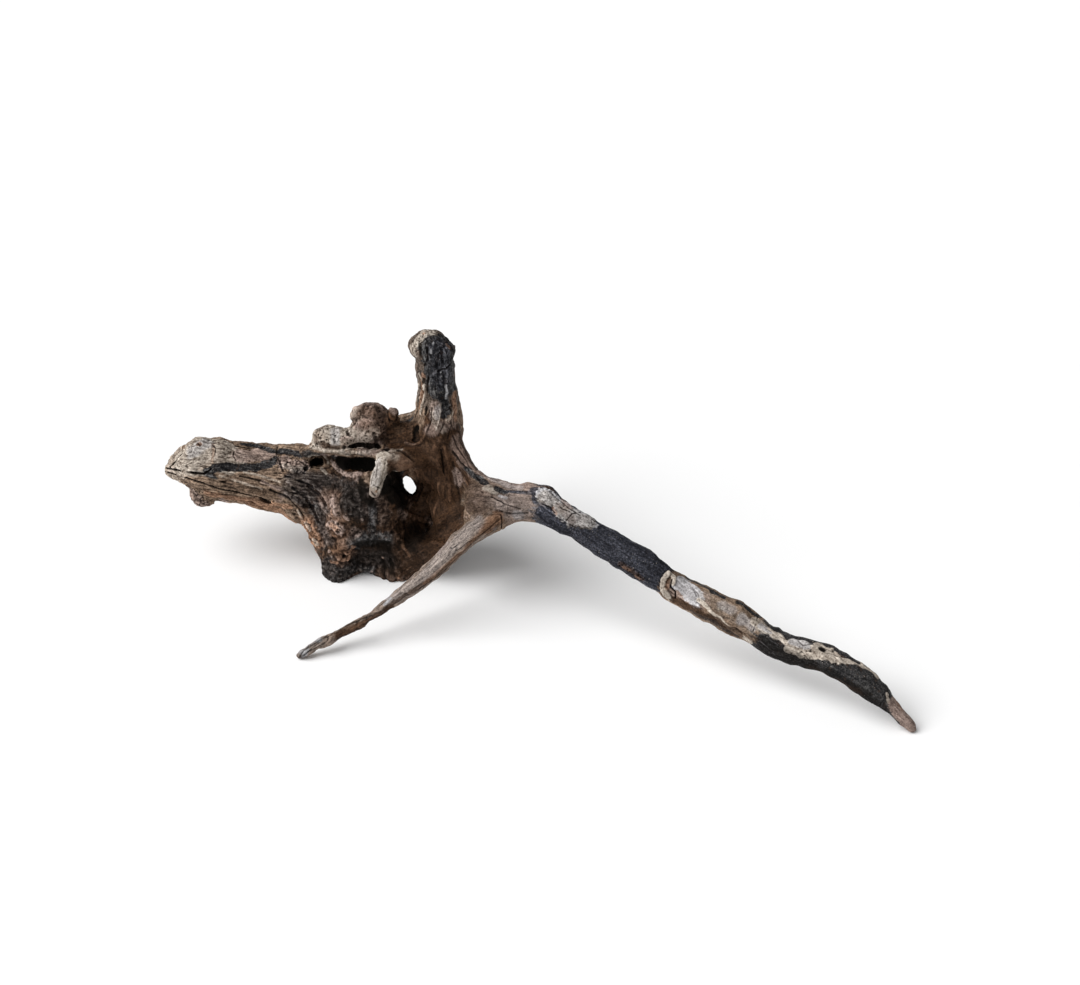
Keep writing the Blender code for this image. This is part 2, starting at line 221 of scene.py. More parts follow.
# Tones that each run is covered with before the marks are painted: the tone, how much of the run it
# covers, and the size of its patches
COVER = {
    "left_limb": [("pink", 0.16, 14), ("char", 0.10, 12), ("warm", 0.10, 10)],
    "upright_limb": [("char", 0.25, 16), ("pale", 0.12, 8)],
    "long_branch": [("char", 0.12, 22), ("pale", 0.14, 12), ("warm", 0.08, 8)],
    "front_leg": [("frost", 0.22, 10), ("pink", 0.2, 9)],
    "hook_spur": [("pale", 0.45, 7), ("pink", 0.3, 6)],
    "stump": [("rich", 0.55, 12), ("char", 0.30, 10), ("pink", 0.18, 7)],
    "left_foot": [("rich", 0.5, 12), ("char", 0.35, 10), ("pink", 0.14, 7)],
    "right_foot": [("rich", 0.6, 12), ("char", 0.4, 10), ("pink", 0.1, 7)],
    "back_foot": [("rich", 0.5, 14), ("char", 0.2, 12)],
    "crown_top": [("rich", 0.5, 12), ("char", 0.15, 10)],
    "back_wall": [("rich", 0.7, 16), ("char", 0.12, 12)],
    "buttress": [("rich", 0.6, 16), ("pale", 0.08, 8)],
    "web": [("rich", 0.85, 14), ("char", 0.15, 10)],
    "hub_wall": [("rich", 1.0, 18)],
    "arch": [("rich", 0.9, 14)],
    "ledge": [("pale", 0.3, 9), ("char", 0.15, 8)],
}
# How much longer than wide the patches are, how far their pattern goes either side of nothing, how soft
# their edges are, and the least cover that is laid
PATCH_STRETCH = 2.2
PATCH_SPAN = 1.15
PATCH_EDGE = 0.12
LEAST_COVER = 0.02
# The first seed of the patches, and how many seeds there are between one row of tones and the next
COVER_SEED, COVER_SEEDS = 40, 7

# Tones that go right round a run: the run, from where to where along it, how soft the ends are, the tone
# and its strength
BANDS = [
    ("left_limb", -20, 22, 6, "pale", 0.55),
    ("upright_limb", -20, 58, 5, "char", 0.6),
    ("long_branch", 2, 46, 14, "pink", 0.5),
    ("long_branch", 46, 147, 2, "blue", 1.0),
    ("long_branch", 216, 345, 5, "char", 1.0),
    ("front_leg", 14, 175, 10, "frost", 0.16),
    ("front_leg", 112, 148, 12, "rich", 0.35),
    ("hook_spur", 2, 60, 7, "pale", 0.85),
    ("hook_spur", 31, 60, 3, "pink", 0.85),
]

# Bands on the side away from the photograph: the size of their bare patches, how far the patches shift the
# ends of a band, and how much of it they take away
FAR_PATCHES = 13
FAR_RAGGED = 22
FAR_BARE = 0.85
# How squarely a face has to look away to count as far, and where in their pattern the bare patches fade in
FAR_SIDE, FAR_PATCH_EDGE = (-0.1, 0.45), (0.12, -0.12)
# How ragged the ends of a band are, and how large a share of its run a point needs to be in it
BAND_RAGGED, BAND_SHARES = 3, (0.3, 0.6)
# How ragged the edge of a mark is, as a share of half its width, and at most in millimetres
RAGGED_SHARE, RAGGED_MOST = 0.42, 2.4
# How much of that is along the grain, and how much is alike in all directions
EDGE_PART, RIPPLE_PART = 0.6, 0.5
# How near a centre a pit starts and where it is full, how near a seam a crack is, and where both gather
PIT_EDGE, SEAM_EDGE, GATHERED = (0.42, 0.24), (0.16, 0.04), (-0.6, 0.1)

# The fine patterns of the material: the length of its threads, and the sizes of its grit, dust and mottling
THREAD_LENGTH, FINE_GRIT, FINE_DUST, FINE_MOTTLING = 7, 1.1, 0.8, 3
# The width of the threads, and of the finer ones on the thin pieces
THREAD_WIDTH, THIN_THREADS = 0.9, 0.75
# How strongly threads and grit show in the shade, how much the shade is deepened, and how much grit
# shows in the roughness
THREAD_CONTRAST, GRIT_CONTRAST, SHADE_POWER, GRIT_ROUGHNESS = 1.3, 1.15, 1.5, 0.2
# How strongly brown flecks and pale specks show on char, where in their noise they start, and how hard
# their edges are
FLECKS, SPECKS = 0.22, 0.5
FLECKS_FROM, SPECKS_FROM, SPECK_EDGE = 0.58, 0.70, 9.0
# Keeps a tone's share of the cover from being divided by nothing
LEAST_COVERED = 1e-4
# How strongly threads and grit stand out of the surface, and by how many millimetres at most
THREAD_BUMP, GRIT_BUMP = 0.6, 0.6
BUMP_STRENGTH, BUMP_HEIGHT = 0.9, 0.6
# How much the wood shines, and how dull the floor is
SPECULAR = 0.07
PAPER_ROUGHNESS = 0.9

# Marks painted on the skin, in order: the tone, half the stroke's width, how far it stands proud or is
# sunk, how soft its edge is, how strong it is, and then one or more strokes, each as its points across the
# photograph's frame in pixels. Pits and crackle are patterns of small holes and cracks inside their
# stroke. A form has no colour, and smooth rubs the weathering down where the wood is worn.
MARKS = [
    # Where the wood is worn smooth: the knobs, arch, dish, hollow and spur
    ("smooth", 13, 0, 4, 0.55, "322,437 342,436"),
    ("smooth", 17, 0, 4, 0.6, "364,416 366,434"),
    ("smooth", 10, 0, 4, 0.6, "390,461 404,464 415,474"),
    ("smooth", 17, 0, 5, 0.55, "440,450 442,470 440,492 432,520"),
    ("smooth", 9, 0, 4, 0.55, "366,548 384,548"),
    # Left limb: the pale end, bark plates, the long split and the knob under the end
    ("pale", 11, 0.1, 2.5, 0.85, "186,459 203,446 222,449 229,459"),
    ("frost", 5, 0, 3, 0.5, "192,452 206,443"),
    ("pale", 6, 0, 2.5, 0.5, "178,470 192,468 205,465"),
    ("warm", 1.6, -0.6, 0.9, 0.8, "199,444"),
    ("warm", 1, -0.3, 0.8, 0.4, "213,444 214,452 212,461"),
    ("dirt", 0.5, -0.6, 0.4, 0.8, "198,443 200,446"),
    ("dirt", 0.45, -0.5, 0.4, 0.8, "213,445 216,449 215,455"),
    ("pits", 9, -0.2, 3, 0.35, "190,450 206,444 222,447"),
    ("pink", 5.4, 0.45, 0.7, 0.85, "239,456 254,455 271,454"),
    ("char", 3, -0.35, 0.7, 1, "208,472 214,468 224,466.5 240,467.5 256,467 268,464 276,460"),
    ("char", 2.2, -0.3, 0.7, 1, "243,443.5 254,444.5 262,447.5 272,451 284,451.5 297,453 311,455"),
    ("char", 3, -0.2, 1.2, 0.9, "297,453 308,453.5 322,455 334,456"),
    ("dirt", 0.4, -0.7, 0.4, 0.7, "234,452 233,456 236,461", "277,447 276.5,454 277,461"),
    ("dirt", 0.5, -0.7, 0.4, 0.9, "236,446 248,448 262,447"),
    ("pink", 5, 0.5, 0.8, 0.9, "284,462 293,466 302,467"),
    ("pale", 2.2, 0.1, 1, 0.45, "284,466 292,469 300,469"),
    ("crackle", 5.2, -0.6, 1, 0.85, "284,463 293,467 301,466"),
    ("dirt", 0.7, -0.8, 0.9, 0.8, "279,460 281,466 283,471", "301,462 307,466 304,473"),
    ("rich", 1.6, -0.3, 1.6, 0.6, "284,473 293,476 303,474"),
    ("dirt", 1.6, -1.2, 0.8, 1, "306,469"),
    ("dirt", 2.4, -0.3, 1.6, 1, "313,461 321,462"),
    ("pale", 1.2, 0.4, 1.4, 0.5, "309,457 317,455.5 325,458 328,463"),
    ("dirt", 2.5, -0.3, 1.8, 1, "311.5,463.5 316,462 320.5,462"),
    ("dirt", 0.7, -1.2, 0.5, 1, "166,468 179,470.5 192,472.5 204,474 211,469", "170,467 176,460 182,454"),
    ("dirt", 0.6, -1.5, 0.6, 1, "167,472.5 187,478 203,483 219,489.5 239,493.5 258,496"),
    ("dirt", 1.3, -0.9, 0.8, 1, "255,496.5 262,499 270,502.5"),
    ("warm", 4.2, 0.3, 2.6, 0.7, "210,494 230,498.5 248,501.5 266,507.5 282,514 292,520"),
    ("rich", 4.5, 0, 4, 0.4, "232,484 252,489 276,497"),
    ("form", 5, 1.5, 3.5, 1, "190,497 198,504 207,504"),
    ("form", 5, -1.3, 4, 1, "256,503 268,508 280,513"),
    ("pink", 7, 0, 1.8, 0.75, "192,493 199,504"),
    ("warm", 3, 0, 2, 0.35, "193,500 203,506"),
    ("crackle", 7, -0.5, 1.5, 0.9, "196,493 199,504"),
    ("warm", 2, 0.4, 0.9, 0.7, "272,504 281,506 290,507"),
    ("dirt", 1.4, -1, 0.8, 0.9, "293,497 299,500"),
    ("dirt", 1.7, -1.2, 0.9, 0.9, "305,506 312,507"),
    ("dirt", 0.8, -1, 0.6, 0.9, "285,476 300,481 312,486"),
    ("dirt", 0.7, -0.9, 0.6, 0.8, "240,476 262,481 283,490 297,494"),
    ("pale", 1, 0.4, 0.6, 0.7, "298,511 303,519 308,526"),
    ("pale", 0.9, 0.4, 0.6, 0.6, "303,509 307,516 311,522"),
    ("pink", 1.3, 0.8, 0.9, 0.7, "262,482 282,490 298,500 307,512"),
    ("dirt", 0.8, -1, 0.7, 0.9, "270,490 288,498 299,509 304,517"),
    ("pink", 1.2, 0.7, 0.9, 0.65, "288,482 303,489 314,500 321,514"),
    ("dirt", 1, -1.2, 0.8, 0.9, "292,488 306,498 314,511 318,522"),
    ("pink", 1.2, 0.6, 0.9, 0.55, "303,478 316,486 326,497"),
    ("dirt", 1.2, -1.2, 0.9, 0.9, "308,486 319,494 326,505"),
    ("pale", 0.8, 0.4, 0.6, 0.6, "244,472 262,476 280,482"),
    ("pale", 0.8, 0.4, 0.6, 0.5, "220,476 240,482 262,489"),
    # Crown, the rough mass: black and deep brown with orange lumps
    ("rich", 24, 0, 8, 0.9, "330,500 345,530 350,555 372,520"),
    ("char", 13, 0, 5, 0.7, "300,487 322,492 345,497 362,503"),
    ("dirt", 15, 0, 9, 0.4, "345,503 354,528 358,556"),
    ("rich", 10, 0, 8, 0.55, "332,502 337,524 344,547"),
    ("warm", 9, 0, 8, 0.2, "331,503 336,523 342,546"),
    ("pink", 7, 0, 7, 0.16, "330,500 336,524 350,545"),
    ("char", 10, 0, 4, 0.65, "322,515 320,535"),
    ("char", 11, 0, 4, 0.85, "330,574 340,568 352,562"),
    ("char", 11, 0, 4, 0.95, "364,550 380,546 384,562 378,574"),
    ("char", 9, 0, 5, 0.5, "378,515 374,500"),
    ("rich", 9, 0, 7, 0.4, "379,516 375,500"),
    ("rich", 12, 0, 5, 0.8, "402,560 396,574 388,580"),
    ("form", 11, -2.2, 9, 1, "368,556 382,557"),
    ("rich", 9, 0, 5, 0.9, "368,556 382,557"),
    ("char", 7, 0, 5, 0.6, "366,558 384,560"),
    ("form", 2.6, 1.4, 3, 1, "346,543 360,538 377,536 394,538 404,545"),
    ("char", 4, 0, 3, 0.6, "352,540 364,536 380,535 394,538"),
    ("warm", 0.9, 0.2, 0.8, 0.5, "383,531", "396,532 404,533"),
    ("dirt", 4, -0.4, 4, 0.75, "360,546 374,544 388,547"),
    ("dirt", 10, 0, 7, 0.6, "364,558 380,556 386,562"),
    ("dirt", 10, 0, 6, 0.35, "330,573 340,570 352,566"),
    ("char", 3, 0.5, 2, 0.8, "372,505 373,516 372,528"),
    ("frost", 1.1, 0.3, 1.4, 0.15, "373,506 372,515 373,524"),
    (
        "form", 1.6, 0.8, 2, 1,
        "378,562 380,572 380,580",
        "386,560 389,571 391,581",
        "394,560 398,570 401,580",
    ),
    ("dirt", 0.8, -0.5, 1.4, 0.6, "382,563 384,572 386,580", "390,560 393,570 396,580"),
    ("warm", 0.8, 0.3, 0.8, 0.6, "398,577"),
    ("warm", 0.8, 0.3, 0.8, 0.5, "382,560"),
    ("dirt", 3.5, -0.6, 2, 0.8, "334,544 330,538"),
    ("pink", 4.5, 0.2, 3, 0.2, "325,531 328,540"),
    ("warm", 6.5, 0.5, 4, 0.6, "307,522 310,531 314,540"),
    ("warm", 5.2, 0.8, 2, 0.95, "308,524 311,531 314,539"),
    ("crackle", 4.6, -0.6, 1, 0.7, "308,524 311,531 314,538"),
    ("pale", 1.5, 0.4, 1, 0.6, "315,539 318,543"),
    ("pale", 1.7, 0.3, 1.2, 0.5, "307,522 310,529"),
    ("pink", 4.5, 0.2, 4, 0.35, "333,501 335,508 335,515"),
    ("pink", 3, 1, 1.6, 0.9, "333,502 334,508 334,512"),
    ("warm", 1.3, 0.2, 1, 0.6, "333,509 334,514"),
    ("warm", 6, 0.2, 5, 0.35, "333,522 338,532"),
    ("pink", 4, 1, 2, 0.9, "333,525 339,530"),
    ("warm", 2, 0.3, 1.2, 0.6, "332,525 337,529"),
    ("dirt", 0.9, -0.8, 1, 0.8, "338.5,524"),
    ("pits", 3.6, -0.5, 1, 0.8, "333,524 337,530"),
    ("warm", 6, 0.2, 5, 0.22, "341,553 347,556 342,560"),
    ("warm", 1.6, 0.7, 1.6, 0.5, "340,554 346,552 349,554 348,559 342,560 339,557"),
    ("warm", 1.2, 0.6, 0.9, 0.55, "350,551 354,547"),
    ("dirt", 1.1, -0.8, 1.2, 0.8, "344,556"),
    ("warm", 1.3, 0.5, 0.8, 0.6, "332,561 337,562"),
    ("pink", 3, 0.5, 2.2, 0.5, "354,531 357,533"),
    ("pits", 2.8, -0.5, 1, 0.8, "354,531 357,533"),
    ("pink", 1.6, 0.7, 1, 0.6, "345,516 348,519"),
    ("warm", 1.2, 0.5, 0.9, 0.5, "352,545"),
    ("pink", 1.2, 0.5, 0.9, 0.5, "322,503 324,508"),
    ("pink", 1, 0.4, 0.8, 0.5, "362,519"),
    ("warm", 0.9, 0.3, 0.8, 0.5, "397,580"),
    ("pink", 0.9, 0.3, 0.8, 0.6, "382,559"),
    ("pink", 1.3, 0.6, 0.8, 0.6, "330,551"),
    ("pink", 1, 0.4, 0.8, 0.55, "372,571"),
    ("pink", 1.4, 0.5, 0.8, 0.5, "318,549 320,558"),
    # Crown, the knobs, crevice, ledge and long slot
    ("pink", 15, 0, 3, 0.85, "366,416 370,434"),
    ("pale", 6, 0, 3, 0.7, "355,437 366,440 374,434"),
    # Painted highlight on the lit left facet of the big knob
    ("pale", 4, 0, 1.5, 0.65, "355,418 358,414"),
    ("form", 4.5, 1.6, 3, 1, "353,417 355,413"),
    ("form", 3, 0.8, 3, 1, "358,408 363,406"),
    ("form", 3, 1.4, 3, 1, "374,402 379,403"),
    # Painted highlight on the big knob's left facet
    ("pale", 4, 0, 2, 0.5, "351,417 354,412"),
    ("rich", 2.4, -1.2, 2.4, 0.75, "352,424 357,418 362,411 366,406"),
    # Painted shade on the big knob's right flank, in brown
    ("rich", 6, 0, 4, 0.75, "379,414 384,424 387,434"),
    ("rich", 4, -0.2, 2.5, 0.5, "366,413 376,410"),
    ("rich", 2.4, -0.2, 2.4, 0.5, "360,428 368,424 376,426"),
    ("rich", 2.6, -0.2, 2.4, 0.5, "356,432 352,438"),
    ("pits", 17, -0.45, 3, 0.75, "366,416 368,434"),
    ("warm", 7, 0, 5, 0.2, "366,416 374,424 376,430"),
    ("dirt", 1.4, -0.9, 1.6, 0.75, "374,434 376,441 377.5,447"),
    ("rich", 3.5, 0, 2.5, 0.6, "380,437 385,441"),
    ("dirt", 0.7, -0.5, 0.8, 0.6, "362,416 367,418"),
    ("pale", 11, 0, 2, 0.9, "320,437 332,434 341,436"),
    ("frost", 3.6, 0.2, 2, 0.5, "336,432 335,443"),
    ("rich", 2.6, 0, 2, 0.5, "315,441 317,435"),
    ("warm", 5, 0, 4, 0.15, "318,436 322,442"),
    ("form", 3, 1.2, 2.5, 1, "338,429 343,430"),
    ("pits", 9, -0.5, 2, 0.95, "316,440 325,433"),
    ("pits", 8, -0.4, 2, 0.6, "333,435 343,437"),
    ("crackle", 11, -0.3, 3, 0.55, "318,434 330,434 338,430"),
    ("rich", 2.6, 0, 3, 0.5, "318,430 323,427"),
    ("rich", 2, -0.2, 2, 0.6, "328,446.5 336,447"),
    ("rich", 2.4, -0.6, 2, 0.8, "323,444 327,446"),
    ("dirt", 0.9, -0.6, 0.9, 0.7, "320,438"),
    ("dirt", 0.9, -0.9, 1, 0.75, "345,428 347,432 350,436"),
    ("rich", 3, 0.2, 2.2, 0.6, "344,442 352,442"),
    ("pink", 0.9, 0.6, 0.9, 0.6, "341,439 346,437 352,438"),
    ("rich", 6, 0, 1.5, 0.9, "393,410 392,419"),
    ("form", 3.6, 2, 3, 1, "393,409 393,414"),
    ("pink", 2.4, 0.1, 1.2, 0.75, "393,408 395,411"),
    ("form", 2.5, 1.2, 2.5, 1, "388,411 389,418"),
    ("dirt", 0.8, -0.8, 1.4, 0.7, "388,410 389,414 390,420"),
    ("rich", 9, 0, 3, 0.9, "398,430 409,432 404,440"),
    ("dirt", 2.5, -1.3, 1.2, 1, "416,430 416,439"),
    ("pink", 0.9, 0.8, 1, 0.5, "405,443 413,445 421,442 425,435 427,428"),
    ("rich", 4, 0, 1.5, 0.8, "388,446 400,446 412,449"),
    ("dirt", 1.2, -0.7, 0.8, 0.9, "398,450 406,454 414,461"),
    ("dirt", 1, -0.6, 0.8, 0.8, "388,452 394,456"),
    ("rich", 1.6, -0.5, 1.6, 0.8, "331,448 338,447.5 345,446.5"),
    ("dirt", 1.6, -1, 1.4, 1, "344,447.5 350,446 355,446.5"),
    ("dirt", 2.3, -1, 1.4, 1, "355,446 362,445 369,446.5 374,446"),
    ("dirt", 1.8, -0.8, 1.2, 1, "378,446.5 383,448.5 387,449"),
    ("pale", 1.3, 0.8, 0.7, 0.75, "358,448 362,448"),
    ("pale", 1.5, 0.5, 1.6, 0.5, "325,451 338,452 350,453 362,453 369,451.5 376,449"),
    ("pink", 1.8, 0, 1.2, 0.6, "322,454.5 336,455.5 350,456.5"),
    ("crackle", 2.6, -0.15, 0.8, 0.45, "326,452 340,453 352,453 364,451 375,448.5"),
    ("char", 1.6, 0, 2.5, 0.4, "344,452 348,454"),
    ("char", 1.6, 0, 2.5, 0.35, "367,452 372,451"),
    ("dirt", 5.4, -0.5, 1.5, 1, "341,463 356,464.5 370,464"),
    ("pink", 1.5, 0.5, 0.8, 0.85, "333,463 338,470 345,474 353,475.5 361,474"),
    ("pink", 1.1, 0.5, 0.7, 0.7, "329,455 331,461 336,468"),
    ("pale", 1, 0.4, 0.6, 0.55, "321,468 326,473"),
    # Crown, the arch, spur, see-through hole and dish, with a last tint over the big knob
    ("rich", 9, 0, 3, 0.9, "388,460 402,461 414,468"),
    ("warm", 6, 0, 4, 0.34, "396,463 406,467 414,476"),
    # Painted shade on the crown behind the spur
    ("dirt", 3, 0, 2, 0.9, "364,470 362,484 364,498 372,504"),
    ("dirt", 12, 0, 8, 0.3, "448,470 452,485 456,500"),
    ("pink", 13, 0, 9, 0.12, "364,412 366,428 362,440"),
    # Painted shade along the spur's right side and on the crown behind it
    ("dirt", 3, 0, 2, 0.9, "392,470 388,482 384,492"),
    ("form", 4.5, -1.3, 2, 1, "401,476 400,487 406,497 414,496 417,486 412,477 405,473"),
    ("form", 6, 0.9, 3, 1, "381,468 377,482 375,494"),
    ("form", 4, 1.2, 3, 1, "380,458 388,457"),
    ("pale", 3.6, 0.2, 3, 0.6, "381,456 388,455 394,457"),
    ("pale", 5.2, 0, 1.6, 0.85, "382,458 380,466 378,476 375,489"),
    # Painted highlight on the spur's lit left side
    ("frost", 2.4, 0, 2.5, 0.35, "380,462 377,472 374,484"),
    ("dirt", 0.35, -0.35, 0.35, 0.6, "380,458 378,467 376,478", "386,460 384,470 381,481 377,490"),
    ("dirt", 0.35, -0.35, 0.35, 0.5, "377,463 375,473 372,484"),
    ("rich", 3.4, 0, 2.5, 0.6, "393,463 390,470"),
    ("form", 2, 1, 2, 1, "411,478 414,483"),
    ("pink", 1.4, 0, 1.2, 0.5, "373,492 375,498"),
    ("dirt", 0.45, -0.5, 0.4, 0.8, "370,487 374,485 379,488", "372,492 375,495 374,499"),
    ("warm", 1.1, 0, 0.8, 0.8, "376,491"),
    # Painted shade in the cavity behind the spur and round the see-through hole
    ("dirt", 9, 0, 3, 0.95, "392,480 397,490 404,498 416,502"),
    ("dirt", 5, 0, 3, 0.75, "419,494 422,498"),
    ("pink", 1.6, 0.6, 1.8, 0.4, "412,508 422,509 430,503 433,493"),
    ("rich", 18, 0, 5, 0.95, "438,446 440,468 438,490 430,520 418,545"),
    ("warm", 1.1, 0.3, 1.6, 0.28, "434,446 438,468 439,492 434,512"),
    ("warm", 0.9, 0.3, 1.4, 0.25, "444,446 449,470 450,500"),
    ("warm", 0.8, 0.2, 1.2, 0.2, "427,452 429,470 433,488"),
    ("rich", 9, 0, 7, 0.75, "456,474 466,490 478,505"),
    ("pink", 1.3, 0.3, 1.5, 0.25, "458,462 465,484 476,503"),
    ("dirt", 0.8, -0.6, 1, 0.7, "441,450 444,472 445,498 440,518"),
    ("dirt", 0.8, -0.5, 1, 0.6, "453,462 457,484 460,502"),
    ("warm", 1.5, 0.4, 1, 0.1, "421,470 428,481 432,492 428,502"),
    ("pink", 3.4, 0.3, 1.4, 0.7, "457,473 459,481"),
    ("pits", 3.4, -0.3, 1.4, 0.8, "457,473 459,481"),
    ("dirt", 7, 0, 4, 0.8, "415,533 413,542 419,535"),
    ("form", 3.5, 2.4, 2.5, 1, "430,521 429,529"),
    ("dirt", 12, 0, 9, 0.35, "400,556 415,549 428,541"),
    ("pink", 1.8, 0.5, 2, 0.35, "427,518 429,522"),
    ("pink", 2.4, 0.4, 3, 0.25, "399,511 404,517"),
    ("warm", 1.6, 0.6, 1.2, 0.15, "404,511 414,517 426,521"),
    ("warm", 1.3, 0.6, 1.2, 0.15, "404,531 402,545 410,556"),
    ("pink", 5, 0, 5, 0.12, "480,494 488,503 482,508"),
    # Upright limb: char over tan fibres, with a pale crest and a grey band at its foot
    ("char", 10.5, -0.2, 1.1, 1, "434,343 437,358 440,374 443,389"),
    ("char", 7, -0.2, 1.1, 1, "446,341 449,358 452,372 454,383"),
    ("blue", 8, 0, 5, 0.5, "440,350 440,366 444,380"),
    ("form", 4, 0.9, 2.5, 1, "428,360 432,372"),
    ("form", 3, -0.9, 2, 1, "441,352 439,366 443,380"),
    ("form", 3, 0.9, 2, 1, "447,352 447,366 450,378"),
    ("dirt", 0.7, -0.9, 0.8, 0.8, "427,348 428,358 424,366"),
    ("dirt", 0.6, -0.7, 0.7, 0.8, "438,372 446,368 452,362"),
    ("warm", 1.1, 0.3, 0.9, 0.35, "447,344 450,348"),
    ("char", 4.6, -0.2, 1, 1, "444,396 444,412"),
    ("pale", 3.8, 0.4, 1, 0.85, "418,341 424,334 432,332"),
    ("pits", 4, -0.4, 1, 0.8, "418,341 424,334 432,332"),
    ("pale", 2.6, 0.3, 0.9, 0.75, "412,347 413,354"),
    ("warm", 2.4, 0.3, 1.2, 0.55, "423,376 423,392 420,408"),
    ("pale", 1.1, 0.6, 0.7, 0.75, "420,374 417,392 409,414"),
    ("pale", 0.9, 0.5, 0.6, 0.65, "425,384 424,398 420,414"),
    ("dirt", 1.1, -1, 0.7, 0.9, "424,379 424,383"),
    ("pale", 0.8, 0.4, 0.6, 0.6, "419,384 417,400 413,414"),
    ("dirt", 0.9, -0.9, 0.6, 0.9, "428,378 427,396 425,414"),
    ("dirt", 0.7, -0.7, 0.5, 0.8, "421,378 419,398 415,416"),
    ("pink", 4, 0.1, 2.5, 0.6, "435,405 434,416"),
    ("pale", 2.6, 0.3, 2.5, 0.45, "434,414 436,424 443,430"),
    ("pink", 4, 0.2, 3, 0.5, "430,431 442,426 454,422"),
    ("pale", 1.2, 0.3, 1.2, 0.5, "447,420 452,414 455,408"),
    ("pale", 0.5, 0.3, 0.5, 0.6, "441,404 440,418 436,430"),
    (
        "dirt", 0.45, -0.5, 0.5, 0.7,
        "445,416 443,426 438,436",
        "451,414 451,426 448,438",
        "432,408 431,422 427,432",
    ),
    ("dirt", 1, -0.8, 0.7, 0.85, "420,344 420,352 421,357"),
    ("warm", 1.2, 0.1, 0.9, 0.6, "424,334"),
    ("frost", 1.1, 0.2, 0.6, 1, "446,386 447,391 446.5,398"),
    ("frost", 0.6, 0.2, 0.5, 0.9, "441,373"),
    ("frost", 0.5, 0.2, 0.5, 0.8, "442,377"),
    ("frost", 0.9, 0.2, 0.7, 0.5, "433,343", "431,350 431,353"),
    ("frost", 2.2, 0.1, 2, 0.3, "438,408 437,417"),
    ("pale", 0.5, 0.3, 0.5, 0.7, "439.6,404 439.8,416"),
    ("warm", 3, 0, 1.4, 0.7, "454,394 455,406 456,418"),
    ("pink", 6, 0.2, 3.5, 0.4, "458,443 466,458 474,470"),
    ("dirt", 0.5, -0.5, 0.5, 0.7, "459,432 463,447 472,463", "453,436 457,447 465,459"),
    ("dirt", 0.9, -0.6, 0.9, 0.9, "453,452 459,460 466,468"),
    ("char", 2.2, -0.3, 1.2, 1, "466,469 474,476 486,483"),
    # Hub and the leg's root
    ("pink", 3.6, 0.4, 1, 0.85, "481,474 498,481 512,486 535,489"),
    ("frost", 3, 0, 2, 0.3, "490,478 505,484 520,488"),
    ("char", 2.6, -0.3, 0.8, 1, "477,476 485,482.5"),
    ("pale", 3, 0.3, 0.9, 0.85, "487,487 494,491"),
    ("char", 2.5, -0.3, 0.8, 1, "497,488 505,492"),
    ("blue", 1.5, -0.4, 0.9, 1, "505,491 518,492 530,493 540,497"),
    ("frost", 1.1, 0.3, 0.6, 0.9, "500,496 506,498"),
    ("pink", 9, 0, 4, 0.3, "506,506 520,507 532,505"),
    ("frost", 9, 0, 6, 0.12, "508,505 522,507 534,505"),
    ("char", 13, 0, 9, 0.17, "472,492 490,500 510,504 530,507"),
    ("char", 7, 0, 6, 0.25, "496,500 508,508 520,512"),
    ("dirt", 0.5, -0.5, 0.5, 0.6, "492,497 505,504 520,509", "500,511 512,514 528,513"),
    ("frost", 4, 0, 3, 0.3, "518,516"),
    ("rich", 5, 0, 1.6, 0.8, "498,519 489,528"),
    ("warm", 5, 0, 1.6, 0.35, "496,519 486,528"),
    ("dirt", 0.45, -0.8, 0.4, 0.8, "501,515 502,521 501.5,529"),
    # Leg: dry grey fibres over an orange-brown lower edge
    ("form", 9, 1.1, 7, 1, "354,624 342,630 330,637"),
    ("frost", 4.5, 0, 2.5, 0.2, "478,522 458,541 438,562 415,585 390,600"),
    ("char", 2, 0, 2, 0.3, "468,524 448,541 428,562"),
    ("rich", 1.7, -0.1, 1.2, 0.8, "497,519 484,531 472,542 457,556 440,573 422,585 405,596 385,610"),
    ("warm", 1.4, 0, 1, 0.35, "494,520 484,529 470,542 450,562 425,583"),
    ("form", 6, -1.2, 8, 1, "399,599 387,607"),
    ("form", 3, -0.5, 4, 1, "372,617 364,622"),
    ("rich", 2.8, -0.1, 2.4, 0.9, "392,609 370,621 354,630 340,637"),
    ("rich", 3, 0, 3, 0.6, "350,627 336,634"),
    ("warm", 1, 0, 1, 0.2, "372,618 352,629"),
    ("pale", 0.8, 0.2, 0.6, 0.6, "384,600 362,611 345,622 334,629"),
    ("form", 5, -0.7, 4, 1, "320,638 309,643"),
    ("char", 4, 0, 3, 0.55, "318,641 306,647 299,654"),
    ("frost", 1.6, 0.1, 2, 0.35, "318,639 306,644 300,650"),
    ("dirt", 0.4, -0.4, 0.7, 0.55, "332,636 318,642 306,648", "308,645 303,652 300,657"),
    ("dirt", 0.35, -0.4, 0.6, 0.5, "322,641 312,648 304,656"),
    ("dirt", 0.5, -0.5, 0.4, 0.7, "372,615 352,624 338,631"),
    # Branch: pale flakes, the blue-black length, the curled bark, the brown length and the charred end
    ("blue", 2.6, -0.2, 1.4, 0.9, "535,490 536,500"),
    ("rich", 2, 0, 1, 0.9, "546,488 553,491"),
    ("dirt", 1, -0.6, 0.7, 0.8, "551,492"),
    ("frost", 4.6, 0.4, 0.7, 1, "543,493.5 552,498.5 561,504.5"),
    ("frost", 6.4, 0.4, 0.7, 1, "562,508.5 571,514.5 583,518"),
    ("frost", 2.6, 0.3, 0.7, 1, "584,521 595,524.5"),
    ("pale", 3.8, 0, 1.5, 0.45, "543,497 553,502 562,509"),
    ("pale", 5.4, 0, 1.5, 0.4, "564,512 574,518 588,522"),
    ("dirt", 0.5, -0.5, 0.5, 0.7, "552,494 560,501 568,508 580,515"),
